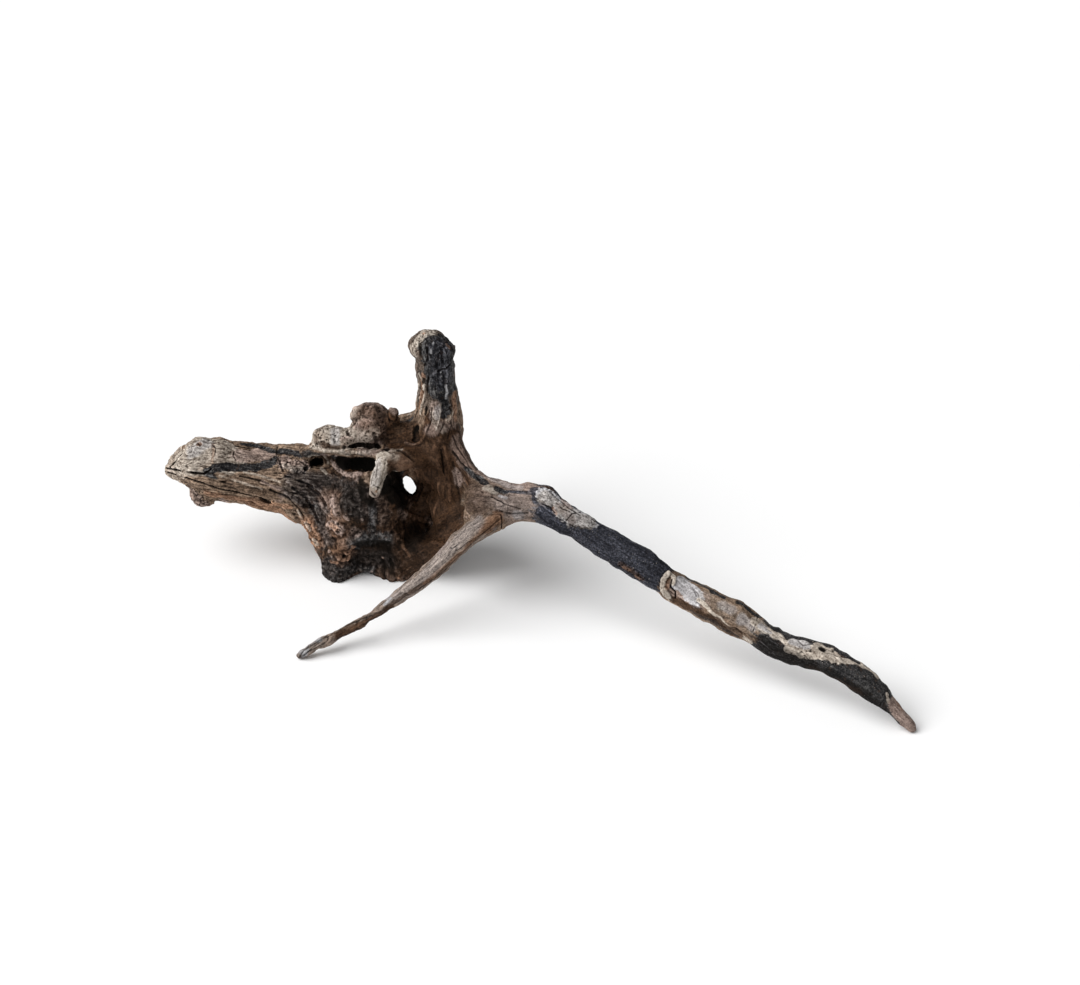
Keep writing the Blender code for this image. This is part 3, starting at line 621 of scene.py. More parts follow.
    ("pink", 2.2, 0, 1, 0.7, "563,500 570,507"),
    ("warm", 1.2, 0, 1, 0.6, "553,508 556,514"),
    ("crackle", 7, -0.2, 1, 0.3, "545,495 558,504 572,516 588,520"),
    ("pits", 7, -0.2, 2, 0.4, "545,495 558,504 572,516 588,520"),
    ("pink", 3, 0, 2.5, 0.4, "560,506 572,520"),
    ("dirt", 0.4, -0.5, 0.4, 0.7, "556,503 562,509 570,512", "566,521 572,514 581,513"),
    ("blue", 4, -0.3, 1, 1, "541,512 549,518"),
    ("dirt", 0.4, -0.6, 0.4, 0.8, "542,504 550,507 555,513"),
    ("rich", 2, 0.2, 1.6, 0.6, "620,564 632,571 642,579"),
    ("warm", 1.1, 0.4, 1.2, 0.3, "624,567 630,570"),
    ("warm", 0.9, 0.4, 1, 0.3, "636,576 640,579"),
    ("pits", 2.6, -0.5, 1.2, 0.8, "620,564 632,571 642,579"),
    ("pink", 6.5, 0, 1.2, 0.7, "676,589 690,592 700,600"),
    ("frost", 6, 0.3, 1.2, 0.9, "681,583 690,591 695,598"),
    ("pale", 1.9, 1.2, 0.8, 1, "668,574 663.5,580 662,587 666,594 671,599"),
    ("pale", 1.5, 0.9, 0.8, 1, "669,573 674,577 673,583"),
    ("warm", 1.2, 0, 0.8, 0.6, "668,581 667,588"),
    ("dirt", 0.35, -0.3, 0.5, 0.5, "684,581 693,589 697,597"),
    ("dirt", 0.3, -0.3, 0.5, 0.45, "689,584 698,594 700,601"),
    ("dirt", 0.5, -1.2, 0.5, 1, "672,580 670.5,587 675.5,592 675,599"),
    ("pale", 5, 0, 2.5, 0.2, "705,597 720,606 738,618 750,627"),
    ("rich", 4, 0, 3, 0.3, "706,603 722,612 740,622"),
    ("frost", 3, 0, 2.5, 0.35, "722,605 732,611"),
    ("frost", 3.5, 0, 2.5, 0.45, "742,619 752,626"),
    ("pale", 1.5, 0.6, 0.7, 0.9, "699,600 706,606 718,617.5 733,630 751,642"),
    ("rich", 3, -0.1, 1.2, 0.9, "674,600 692,609 714,619.5 739,635"),
    ("char", 2, -0.1, 1.5, 0.5, "692,612 714,623 736,636"),
    ("char", 2.2, -0.3, 0.9, 1, "689,578.5 701,584.5 712,590.5 723,596"),
    ("char", 1.8, -0.3, 0.8, 1, "738,602 748,608 760,616.5"),
    ("dirt", 0.35, -0.5, 0.4, 0.8, "757.5,618 756,624 753,631"),
    ("pale", 4.2, 0.2, 1.2, 0.9, "757,622 766,628 776,634"),
    ("frost", 2.5, 0, 1.5, 0.6, "762,626 770,631"),
    ("frost", 0.3, 0.1, 0.4, 0.45, "760,641 768,648 775,655"),
    ("frost", 0.3, 0.1, 0.4, 0.35, "770,640 778,645"),
    ("pale", 1.8, 0.5, 0.8, 1, "770,629 778,635 786,643"),
    ("pale", 3.8, 0.3, 0.9, 0.9, "792,643 806,647"),
    ("frost", 2.8, 0.1, 1.2, 0.7, "793,642 808,646"),
    ("dirt", 0.4, -0.4, 0.4, 0.5, "798,641 803,646 811,645"),
    ("pale", 2.2, 0.5, 0.8, 1, "787,649 801,655 820,656 839,661"),
    ("pits", 3, -0.3, 1, 0.6, "787,649 801,655 820,656 839,661"),
    ("pale", 5, 0.3, 1, 0.95, "819,649 832,655"),
    ("dirt", 1.7, -0.8, 1.4, 1, "821.5,648.5 823.5,650"),
    ("dirt", 0.8, -0.6, 0.9, 0.9, "833,651.5"),
    ("warm", 1.2, 0, 1, 0.2, "836,653 847,660"),
    ("pale", 1.9, 0.5, 0.7, 1, "839,660 858,663 868,669.5 878,675"),
    ("char", 1.5, -0.3, 0.8, 1, "836,650.5 846,656 858,663"),
    ("dirt", 7, 0, 4, 0.6, "765,646 790,659 815,669 840,681 862,695 880,708"),
    ("rich", 3, 0, 3, 0.35, "812,668 836,680 858,692"),
    ("dirt", 7, 0, 5, 0.35, "770,647 790,660 815,670 840,682 862,695 878,706"),
    ("dirt", 12, 0, 8, 0.25, "560,525 590,538 620,552 650,568 672,580"),
    ("warm", 1, 0.2, 0.8, 0.25, "800,668 830,680"),
    ("pale", 1.3, 0.3, 0.6, 1, "887,694 889,702"),
    ("pink", 6.5, 0, 1.3, 0.95, "897,704 906,715 914,727"),
    ("warm", 2, 0, 1.5, 0.4, "894,698 903,708"),
]


class SinkerWoodSizes(bpy.types.PropertyGroup):
    """Sizes of the wood's skin and its weathering."""

    skin_voxel: bpy.props.FloatProperty(
        name="Skin Detail", description="Spacing of the points of the grown skin, in millimetres",
        default=0.5, min=0.4, max=2.0,
    )
    fibre_height: bpy.props.FloatProperty(
        name="Fibre Height", description="Height of the weathered fibres, in millimetres", default=0.75,
        min=0.0, max=2.0,
    )
    lump_height: bpy.props.FloatProperty(
        name="Lump Height", description="Height of the lumps on the crown, in millimetres", default=1.6,
        min=0.0, max=4.0,
    )
    crack_depth: bpy.props.FloatProperty(
        name="Crack Depth", description="Depth of the drying cracks, in millimetres", default=1.1,
        min=0.0, max=3.0,
    )


def colour_property(name, description, default):
    return bpy.props.FloatVectorProperty(
        name=name, description=description, default=default, size=3, min=0.0, max=1.0, subtype="COLOR"
    )


class SinkerWoodColours(bpy.types.PropertyGroup):
    """Colours of the wood: each tone has a deep colour in its grooves and a raised one on its ridges."""

    # The mix of a deep and a raised colour also carries the painted shade of the hollows and the painted
    # highlight of the ridges
    wood_deep: colour_property("Wood Grooves", "Bare wood between its fibres", (0.020, 0.011, 0.007))
    wood_raised: colour_property("Wood Fibres", "Bare wood on its fibres", (0.46, 0.325, 0.23))
    # The raised colours of char and blue char carry a painted sheen on their faces
    char_deep: colour_property("Char Grooves", "Char between its blocks", (0.004, 0.004, 0.005))
    char_raised: colour_property("Char Faces", "Char on its faces", (0.200, 0.192, 0.188))
    blue_deep: colour_property(
        "Blue Char Grooves", "Blue-black char between its blocks", (0.005, 0.0055, 0.009)
    )
    blue_raised: colour_property("Blue Char Faces", "Blue-black char on its faces", (0.205, 0.215, 0.265))
    pale_deep: colour_property("Pale Grooves", "Bleached wood between its fibres", (0.085, 0.060, 0.043))
    pale_raised: colour_property("Pale Fibres", "Bleached wood on its fibres", (0.80, 0.71, 0.61))
    frost_deep: colour_property("Grey Grooves", "Grey bleached wood in its grooves", (0.12, 0.11, 0.11))
    frost_raised: colour_property("Grey Fibres", "Grey bleached wood on its fibres", (0.84, 0.83, 0.85))
    pink_deep: colour_property("Bark Grooves", "Pinkish bark in its grooves", (0.045, 0.028, 0.021))
    pink_raised: colour_property("Bark Faces", "Pinkish bark on its faces", (0.58, 0.44, 0.38))
    warm_deep: colour_property("Orange Grooves", "Orange wood in its grooves", (0.060, 0.026, 0.014))
    warm_raised: colour_property("Orange Faces", "Orange wood on its faces", (0.60, 0.34, 0.21))
    rich_deep: colour_property("Brown Grooves", "Smooth brown wood in its grooves", (0.006, 0.0026, 0.0012))
    rich_raised: colour_property("Brown Faces", "Smooth brown wood on its faces", (0.112, 0.058, 0.031))
    dirt: colour_property("Dirt", "Dirt in the cracks and pits", (0.004, 0.003, 0.0022))
    floor: colour_property("Floor", "The plain floor", (0.93, 0.93, 0.93))


def repeatable(cells, seed):
    """A repeatable whole number for each cell of a grid."""
    x, y, z = (cells[:, axis].astype(np.int64).astype(np.uint32) for axis in range(3))
    number = x * np.uint32(374761393) + y * np.uint32(668265263) + z * np.uint32(2246822519)
    number += np.uint32((seed * 40503 + 12345) % 2**32)
    number ^= number >> np.uint32(15)
    number *= np.uint32(2246822519)
    number ^= number >> np.uint32(13)
    number *= np.uint32(3266489917)
    number ^= number >> np.uint32(16)
    return number


def three_parts(number):
    """Three numbers from 0 to 1 out of each whole number."""
    return [((number >> np.uint32(shift)) & np.uint32(1023)) / np.float32(1023) for shift in (0, 10, 20)]


def waves(places, seed):
    """Smooth noise from about -1 to 1, for places measured in waves."""
    cells = np.floor(places)
    part = (places - cells).astype(np.float32)
    ease = part * part * part * (part * (part * 6 - 15) + 10)
    total = np.zeros(len(places), np.float32)
    for corner in itertools.product((0, 1), repeat=3):
        slopes = three_parts(repeatable(cells + corner, seed))
        share = np.ones(len(places), np.float32)
        slope = np.zeros(len(places), np.float32)
        for axis in range(3):
            share *= ease[:, axis] if corner[axis] else 1 - ease[:, axis]
            slope += (2 * slopes[axis] - 1) * (part[:, axis] - corner[axis])
        total += share * slope
    return WAVE_HEIGHT * total


def octaves(places, seed, count=3, gain=0.5):
    """Waves with finer and lower ones on top of them."""
    total = 0
    height = 1
    for step in range(count):
        total = total + height * waves(places * 2**step + OCTAVE_STEP * step, seed + step)
        height *= gain
    return total


def pebbles(places, seed):
    """For each place: how far the nearest random centre is, how much further the next one is, in cells."""
    cells = np.floor(places)
    nearest = np.full(len(places), FAR_AWAY, np.float32)
    second = nearest.copy()
    for corner in itertools.product((-1, 0, 1), repeat=3):
        cell = cells + corner
        jitter = np.stack(three_parts(repeatable(cell, seed)), 1)
        reach = np.linalg.norm(cell + jitter - places, axis=1).astype(np.float32)
        second = np.minimum(second, np.maximum(nearest, reach))
        nearest = np.minimum(nearest, reach)
    return nearest, second - nearest


def ease_between(low, high, values):
    """Rises smoothly from 0 where the values are at low to 1 where they are at high."""
    share = np.clip((values - low) / (high - low), 0, 1)
    return share * share * (3 - 2 * share)


def read_vectors(items, key):
    """One vector for each of a mesh's points or faces."""
    flat = np.zeros(len(items) * 3, np.float32)
    items.foreach_get(key, flat)
    return flat.reshape(-1, 3)


class Run:
    """A run of wood with a frame that travels along it without twisting."""

    def __init__(self, stations):
        stations = np.array(stations, float)
        self.points = stations[:, :3] + SHIFT
        self.radii = stations[:, 3]
        ways = np.gradient(self.points, axis=0)
        ways /= np.linalg.norm(ways, axis=1, keepdims=True)
        side = np.cross(ways[0], (0, 0, 1) if abs(ways[0][2]) < 0.8 else (0, 1, 0))
        sides = []
        for way in ways:
            side = side - (side @ way) * way
            side = side / np.linalg.norm(side)
            sides.append(side)
        self.sides = np.array(sides)
        self.tops = np.cross(ways, self.sides)
        steps = np.linalg.norm(np.diff(self.points, axis=0), axis=1)
        self.starts = np.concatenate([[0], np.cumsum(steps)])

    def follow(self, places):
        """Each place's distance outside the run, and where it lies: along, sideways and up."""
        outside = np.full(len(places), np.inf)
        where = np.zeros((len(places), 3))
        last = len(self.points) - 2
        for i in range(last + 1):
            start = self.points[i]
            chord = self.points[i + 1] - start
            share = ((places - start) @ chord) / (chord @ chord)
            inside = np.clip(share, 0, 1)
            offset = places - start - inside[:, None] * chord
            radius = self.radii[i] + inside * (self.radii[i + 1] - self.radii[i])
            reach = np.linalg.norm(offset, axis=1) - radius
            nearer = reach < outside
            free = np.clip(share, -np.inf if i == 0 else 0, np.inf if i == last else 1)
            offset = places - start - free[:, None] * chord
            side = self.sides[i] + free[:, None] * (self.sides[i + 1] - self.sides[i])
            top = self.tops[i] + free[:, None] * (self.tops[i + 1] - self.tops[i])
            along = self.starts[i] + free * np.linalg.norm(chord)
            here = np.stack([along, (offset * side).sum(1), (offset * top).sum(1)], 1)
            outside = np.where(nearer, reach, outside)
            where = np.where(nearer[:, None], here, where)
        return outside, where


class Skin:
    """The points of the wood's skin, and what its weathering does to each of them."""

    def __init__(self, mesh):
        count = len(mesh.vertices)
        self.count = count
        self.places = read_vectors(mesh.vertices, "co").astype(float) / MM
        self.normals = read_vectors(mesh.vertices, "normal").astype(float)
        self.lift = np.zeros(count)
        self.fibre = np.zeros(count)
        self.thready = np.zeros(count)
        self.tones = {tone: np.zeros(count) for tone in TONES}
        self.find_runs()

    def find_runs(self):
        """Notes which runs each point lies on, with shares that blend smoothly from run to run."""
        outside = {}
        nearest = np.full(self.count, np.inf)
        for name, stations in RUNS.items():
            run = Run(stations)
            low = run.points.min(0) - run.radii.max() - RUN_REACH
            high = run.points.max(0) + run.radii.max() + RUN_REACH
            near = np.where(((self.places > low) & (self.places < high)).all(1))[0]
            reach, where = run.follow(self.places[near])
            outside[name] = (near, reach, where)
            nearest[near] = np.minimum(nearest[near], reach)
        self.runs = {}
        total = np.zeros(self.count)
        for name, (near, reach, where) in outside.items():
            share = np.exp(-(reach - nearest[near]) / RUN_BLEND)
            kept = share > LEAST_SHARE
            self.runs[name] = (near[kept], where[kept], share[kept])
            total[near[kept]] += share[kept]
        best = np.zeros(self.count)
        self.grain = np.zeros((self.count, 3))
        for index, (name, (near, where, share)) in enumerate(self.runs.items()):
            share = share / total[near]
            self.runs[name] = (near, where, share)
            better = share > best[near]
            self.grain[near[better]] = where[better] + GRAIN_STEP * index
            best[near[better]] = share[better]

    def along_grain(self, pattern, waves_size, seed):
        """A pattern that is stretched along the runs, blended where they meet."""
        long, wide = waves_size
        total = np.zeros(self.count)
        power = np.full(self.count, TINY)
        for index, (near, where, share) in enumerate(self.runs.values()):
            values = pattern(where / (long, wide, wide) + RUN_STEP * index, seed)
            total[near] += share * values
            power[near] += share**2
        return total / np.sqrt(power)

    def by_run(self, values):
        """A number given for each run, spread over the points by their shares of the runs."""
        total = np.zeros(self.count)
        for name, (near, _, share) in self.runs.items():
            total[near] += share * values[name]
        return total

    def paint(self, tone, mask):
        """Covers the points with a tone by their mask, over the tones that were there."""
        for other in self.tones.values():
            other *= 1 - mask
        if tone in self.tones:
            self.tones[tone] += mask


def frame_shape(name):
    """A merged copy of one of the frame's solids, in metres."""
    shape = bmesh.new()
    shape.from_mesh(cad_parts[name].data)
    bmesh.ops.remove_doubles(shape, verts=shape.verts[:], dist=WELD * MM)
    return shape


def fork_place(name):
    """A point of a fork's plane, in metres, and the way out along its limb."""
    return (Vector(FORKS[name][0]) + Vector(SHIFT)) * MM, Vector(FORKS[name][1]).normalized()


def joined_frame():
    """All six solids in one mesh, with each limb's end pushed a little into the crown."""
    joined = bmesh.new()
    for name in SLOTS:
        shape = frame_shape(name)
        if name in FORKS:
            place, way = fork_place(name)
            for vertex in shape.verts:
                if abs((vertex.co - place).dot(way)) < CAP_NEAR * MM:
                    vertex.co -= way * CAP_OVERLAP * MM
        mesh = bpy.data.meshes.new("solid")
        shape.to_mesh(mesh)
        shape.free()
        joined.from_mesh(mesh)
        bpy.data.meshes.remove(mesh)
    mesh = bpy.data.meshes.new("joined")
    joined.to_mesh(mesh)
    joined.free()
    return mesh


def apply_modifiers(thing):
    """Puts the mesh that the modifiers make in the place of the thing's own."""
    graph = bpy.context.evaluated_depsgraph_get()
    mesh = bpy.data.meshes.new_from_object(thing.evaluated_get(graph))
    thing.modifiers.clear()
    thing.data = mesh


def remesh(thing, voxel, rounds):
    """Grows one closed skin over all that overlaps, and rubs the facets off without shrinking it."""
    grow = thing.modifiers.new("grow", "REMESH")
    grow.mode = "VOXEL"
    grow.voxel_size = voxel * MM
    for factor in (SMOOTH_IN, SMOOTH_OUT) * rounds:
        rub = thing.modifiers.new("rub", "SMOOTH")
        rub.factor = factor
        rub.iterations = 1
    apply_modifiers(thing)


def part_at_forks(thing):
    """Cuts the skin along each fork's plane and gives each piece's faces the number of that piece."""
    shape = bmesh.new()
    shape.from_mesh(thing.data)
    middles = read_vectors(thing.data.polygons, "center")
    shape.faces.ensure_lookup_table()
    for name, (_, _, _, width) in FORKS.items():
        place, way = fork_place(name)
        offset = middles - np.array(place)
        along = offset @ np.array(way)
        across = np.linalg.norm(offset - along[:, None] * np.array(way), axis=1)
        near = np.where((np.abs(along) < CUT_NEAR * MM) & (across < CUT_ACROSS * width * MM))[0]
        faces = [shape.faces[i] for i in near]
        cut = set(faces)
        for face in faces:
            cut.update(face.edges)
            cut.update(face.verts)
        bmesh.ops.bisect_plane(shape, geom=list(cut), dist=CUT_EXACT, plane_co=place, plane_no=way)
        shape.faces.ensure_lookup_table()
    mesh = bpy.data.meshes.new("wood_skin")
    shape.to_mesh(mesh)
    shape.free()
    thing.data = mesh
    middles = read_vectors(mesh.polygons, "center")
    numbers = np.zeros(len(mesh.polygons), np.int32)
    for number, name in enumerate(SLOTS):
        if name in FORKS:
            place, way = fork_place(name)
            _, _, length, width = FORKS[name]
            turn = np.array(way.to_track_quat("Z", "Y").to_matrix())
            local = (middles - np.array(place)) @ turn / MM
            inside = (local[:, 2] > 0) & (local[:, 2] < length) & (np.abs(local[:, :2]) < width / 2).all(1)
            numbers[inside] = number
    mesh.polygons.foreach_set("material_index", numbers)


class Camera:
    """The photograph's camera, for rays through its pixels."""

    def __init__(self):
        out = Vector((0, -math.cos(CAMERA_TILT), math.sin(CAMERA_TILT)))
        self.place = CAMERA_AIM * MM + out * CAMERA_REACH * MM
        self.way = -out
        self.up = Vector((0, math.sin(CAMERA_TILT), math.cos(CAMERA_TILT)))
        self.focus = LENS / SENSOR * PHOTO_WIDTH

    def ray(self, x, y):
        """The way from the camera through a pixel."""
        sideways = Vector((x - PHOTO_WIDTH / 2, 0, 0))
        return (self.way * self.focus + sideways + self.up * (PHOTO_HEIGHT / 2 - y)).normalized()


def places_of_marks(path, surface, camera):
    """The points of the wood that a mark's points fall on, in millimetres."""
    ways = [camera.ray(*(float(number) for number in pair.split(","))) for pair in path.split()]
    hits = [surface.ray_cast(camera.place, way)[0] for way in ways]
    good = [i for i, hit in enumerate(hits) if hit is not None]
    reach = (CAMERA_AIM * MM - camera.place).length
    found = []
    for i, (way, hit) in enumerate(zip(ways, hits)):
        if hit is None:
            if good:
                nearest = min(good, key=lambda other: abs(other - i))
                reach = (hits[nearest] - camera.place).dot(way)
            hit = surface.find_nearest(camera.place + way * reach)[0]
        found.append(Vector(hit) / MM)
    return found


def distance_to_path(places, path):
    """How far each place is from the nearest stretch of the path."""
    nearest = np.full(len(places), np.inf)
    pairs = list(zip(path, path[1:])) or [(path[0], path[0])]
    for start, end in pairs:
        start, chord = np.array(start), np.array(end - start)
        share = np.clip(((places - start) @ chord) / max(chord @ chord, TINY), 0, 1)
        nearest = np.minimum(nearest, np.linalg.norm(places - start - share[:, None] * chord, axis=1))
    return nearest


def cover_runs(skin):
    """Lays each run's own tones over it in patches that are stretched along the grain."""
    for order in range(max(len(rows) for rows in COVER.values())):
        for tone in TONES:
            rows = {name: rows[order] for name, rows in COVER.items() if len(rows) > order}
            rows = {name: row for name, row in rows.items() if row[0] == tone}
            if not rows:
                continue
            cover = {name: rows[name][1] if name in rows else 0.0 for name in RUNS}
            size = sum(row[2] for row in rows.values()) / len(rows)
            seed = COVER_SEED + COVER_SEEDS * order + TONES.index(tone)
            patches = skin.along_grain(octaves, (PATCH_STRETCH * size, size), seed)
            level = skin.by_run(cover)
            edge = PATCH_SPAN - 2 * PATCH_SPAN * level
            patches = ease_between(edge - PATCH_EDGE, edge + PATCH_EDGE, patches)
            skin.paint(tone, patches * (level > LEAST_COVER))


def furrowed(values):
    """Turns a pattern into rounded ridges with sharp grooves between them."""
    return np.abs(values) - FURROW_FLOOR


def weather(skin, sizes):
    """Raises the fibres and lumps and opens the cracks of every run."""
    fibres = skin.by_run({name: row[0] for name, row in CHARACTER.items()})
    lumps = skin.by_run({name: row[1] for name, row in CHARACTER.items()})
    ridges = skin.along_grain(octaves, RIDGES, seed=1)
    threads = skin.along_grain(waves, THREADS, seed=5)
    strands = skin.along_grain(octaves, STRANDS, seed=9)
    cracks = 1 - np.abs(skin.along_grain(waves, CRACKS, seed=13))
    cracks = ease_between(*CRACK_EDGE, cracks) * ease_between(*CRACK_BREAKS, strands)
    bent = np.stack([waves(skin.places / BEND_WAVES, seed) for seed in (33, 34, 35)], 1)
    warped = skin.places + BEND * bent
    burls = octaves(warped / BURLS, seed=21, count=2)
    rough = octaves(warped / ROUGH, seed=25, count=2)
    grit = octaves(skin.places / GRIT, seed=29, count=2, gain=0.7)
    worn = ease_between(*WORN_EDGE, waves(skin.places / WORN, seed=37))
    swell = octaves(skin.places / SWELL, seed=31, count=2)
    fine = RIDGE_LIFT * furrowed(ridges) + THREAD_LIFT * threads + STRAND_LIFT * strands
    skin.lift += sizes.fibre_height * fibres * fine
    relief = BURL_LIFT * burls + ROUGH_LIFT * furrowed(rough)
    skin.lift += sizes.lump_height * lumps * (relief + GRIT_LIFT * grit)
    skin.lift += SWELL_LIFT * swell * (SWELL_LEAST + lumps) - sizes.crack_depth * cracks * fibres
    skin.fibre = MIDDLE_SHADE + THREAD_SHADE * threads * fibres + STRAND_SHADE * strands
    skin.fibre = skin.fibre + GRIT_SHADE * grit * (GRIT_LEAST + lumps)
    skin.thready = np.clip(LEAST_THREADS + fibres, 0, 1)
    skin.paint("dirt", CRACK_DIRT * cracks * np.minimum(1, CRACK_REACH * fibres))
    skin.lumps = lumps
    skin.relief = relief
    skin.grit = grit
    skin.worn = worn


def paint_height_shade(skin, mesh):
    """Paints shade into what lies below its surroundings and a highlight onto what stands above them."""
    ends = np.zeros(len(mesh.edges) * 2, np.int32)
    mesh.edges.foreach_get("vertices", ends)
    first, second = ends.reshape(-1, 2).T
    neighbours = np.bincount(first, minlength=skin.count) + np.bincount(second, minlength=skin.count)
    level = skin.lift
    for _ in range(LEVEL_ROUNDS):
        total = np.bincount(first, level[second], skin.count)
        total = total + np.bincount(second, level[first], skin.count)
        level = 0.5 * level + 0.5 * total / np.maximum(neighbours, 1)
    # Painted shade and highlight: the height above the levelled skin goes into the shade of the colour
    skin.fibre += PAINTED_HEIGHT_SHADE * (skin.lift - level)


def paint_bands(skin):
    """Lays the tones that go right round a run, with ragged ends, and in patches on the far side."""
    ragged = skin.along_grain(octaves, BAND_ENDS, seed=51)
    patches = octaves(skin.places / FAR_PATCHES, seed=53, count=2)
    far = ease_between(*FAR_SIDE, skin.normals @ np.array(Camera().way))
    open_wood = far * ease_between(*FAR_PATCH_EDGE, patches)
    for name, start, end, soft, tone, strength in BANDS:
        near, where, share = skin.runs[name]
        along = where[:, 0] + (BAND_RAGGED + soft / 2) * ragged[near]
        along = along + FAR_RAGGED * (far * patches)[near]
        mask = np.zeros(skin.count)
        mask[near] = ease_between(start - soft / 2, start + soft / 2, along)
        ending = ease_between(end + soft / 2, end - soft / 2, along)
        mask[near] *= ending * ease_between(*BAND_SHARES, share)
        skin.paint(tone, strength * mask * (1 - FAR_BARE * open_wood))


def paint_marks(skin, surface):
    """Paints and presses the marks into the skin, one over the other."""
    camera = Camera()
    edges = skin.along_grain(octaves, MARK_EDGES, seed=61)
    ripples = octaves(skin.places / RIPPLES, seed=67, gain=0.6)
    holes, _ = pebbles(skin.places / PIT_SPACING, seed=71)
    _, seams = pebbles(skin.places / CRACKLE_BLOCKS, seed=73)
    gathered = ease_between(*GATHERED, waves(skin.places / GATHERING, seed=79))
    patterns = {
        "pits": ease_between(*PIT_EDGE, holes) * gathered,
        "crackle": ease_between(*SEAM_EDGE, seams) * gathered,
    }
    strokes = [(*row[:5], path) for row in MARKS for path in row[5:]]
    for tone, half, lift, soft, strength, path in strokes:
        points = places_of_marks(path, surface, camera)
        reach = 2 * half + soft + 1
        low = np.min(points, axis=0) - reach
        high = np.max(points, axis=0) + reach
        near = np.where(((skin.places > low) & (skin.places < high)).all(1))[0]
        ragged = min(RAGGED_SHARE * half, RAGGED_MOST)
        away = distance_to_path(skin.places[near], points)
        away = away + ragged * (EDGE_PART * edges[near] + RIPPLE_PART * ripples[near])
        mask = np.zeros(skin.count)
        mask[near] = ease_between(half + soft / 2, half - soft / 2, away)
        if tone == "smooth":
            for values in (skin.lift, skin.lumps, skin.thready):
                values *= 1 - strength * mask
            continue
        if tone in patterns:
            mask *= patterns[tone]
            tone = "dirt"
        skin.lift += lift * mask
        if tone != "form":
            skin.paint(tone, strength * mask)


def colour_relief(skin):
    """Darkens the hollows between the lumps with dirt and painted shade, and bleaches the tops of the worn
    lumps with a painted highlight.
    """
    # Dirt and painted shade in the hollows of the lumps and the grit
    skin.paint("dirt", HOLLOW_DIRT_AND_SHADE * skin.lumps * ease_between(*HOLLOWS, skin.relief))
    skin.paint("dirt", HOLLOW_DIRT_AND_SHADE * skin.lumps * ease_between(*GRIT_HOLLOWS, skin.grit))
    uncovered = np.clip(1 - skin.tones["dirt"] - CHAR_KEEPS * skin.tones["char"], 0, 1)
    open_wood = skin.lumps * skin.worn * uncovered
    # Bleaching and a painted highlight on the tops of the worn lumps and grit
    skin.paint("pink", TOP_PINK_AND_HIGHLIGHT * open_wood * ease_between(*TOPS, skin.relief))
    skin.paint("pink", GRIT_PINK_AND_HIGHLIGHT * open_wood * ease_between(*GRIT_TOPS, skin.grit))


def inside_box(places):
    """Keeps the skin within the frame's own box."""
    low, high = (np.array(corner) / MM for corner in CAD_BOX)
    return np.clip(places, low, high)


def store(mesh, name, kind, values):
    """Keeps values for the mesh's points as an attribute that the materials read."""
    attribute = mesh.attributes.new(name, kind, "POINT")
    key = "vector" if kind == "FLOAT_VECTOR" else "value"
    attribute.data.foreach_set(key, np.ascontiguousarray(values, np.float32).ravel())


class SINKER_OT_skin(bpy.types.Operator):
    """Grow one skin over the frame, weather it, and part it at the forks"""

    bl_idname = "sinker_wood.skin"
    bl_label = "Grow the Skin"

    def execute(self, context):
        sizes = context.scene.sinker_wood_sizes
        thing = bpy.data.objects.new("wood_skin", joined_frame())
        context.scene.collection.objects.link(thing)
        surface_shape = bmesh.new()
        surface_shape.from_mesh(thing.data)
        surface = BVHTree.FromBMesh(surface_shape)
        surface_shape.free()
        remesh(thing, COARSE_VOXEL, COARSE_ROUNDS)
        remesh(thing, sizes.skin_voxel, FINE_ROUNDS)
        part_at_forks(thing)
        mesh = thing.data
        skin = Skin(mesh)
        cover_runs(skin)
        paint_bands(skin)
        weather(skin, sizes)
        paint_marks(skin, surface)
        colour_relief(skin)
        skin.thready *= 1 - BURNT_THREADS * (skin.tones["char"] + skin.tones["blue"])
        paint_height_shade(skin, mesh)
        places = inside_box(skin.places + skin.normals * skin.lift[:, None])
        mesh.vertices.foreach_set("co", (places * MM).astype(np.float32).ravel())
        for tone, values in skin.tones.items():
            store(mesh, tone, "FLOAT", values)
        store(mesh, "fibre", "FLOAT", np.clip(skin.fibre, 0, 1))
        store(mesh, "thready", "FLOAT", skin.thready)
        store(mesh, "grain", "FLOAT_VECTOR", skin.grain * MM)
        mesh.shade_smooth()
        mesh.update()
        for name in SLOTS:
            mesh.materials.append(bpy.data.materials.new(name + "_place"))
        separate(thing)
        return {"FINISHED"}


def separate(thing):
    """Makes an object of each piece's faces, named for the piece."""
    bpy.ops.object.select_all(action="DESELECT")
    bpy.context.view_layer.objects.active = thing
    thing.select_set(True)
    bpy.ops.object.mode_set(mode="EDIT")
    bpy.ops.mesh.separate(type="MATERIAL")
    bpy.ops.object.mode_set(mode="OBJECT")
    for part in list(bpy.context.selected_objects):
        first = part.data.polygons[0].material_index
        place = part.material_slots[first].material.name
        part.name = place.replace("_place", "_skin")


def close_fork(thing):
    """Closes the openings that the forks left in a piece, with sharp edges round the new faces."""
    shape = bmesh.new()
    shape.from_mesh(thing.data)
    edges = [edge for edge in shape.edges if edge.is_boundary]
    made = bmesh.ops.holes_fill(shape, edges=edges, sides=0)["faces"]
    for edge in edges:
        edge.smooth = False
    bmesh.ops.triangulate(shape, faces=made)
    shape.to_mesh(thing.data)
    shape.free()


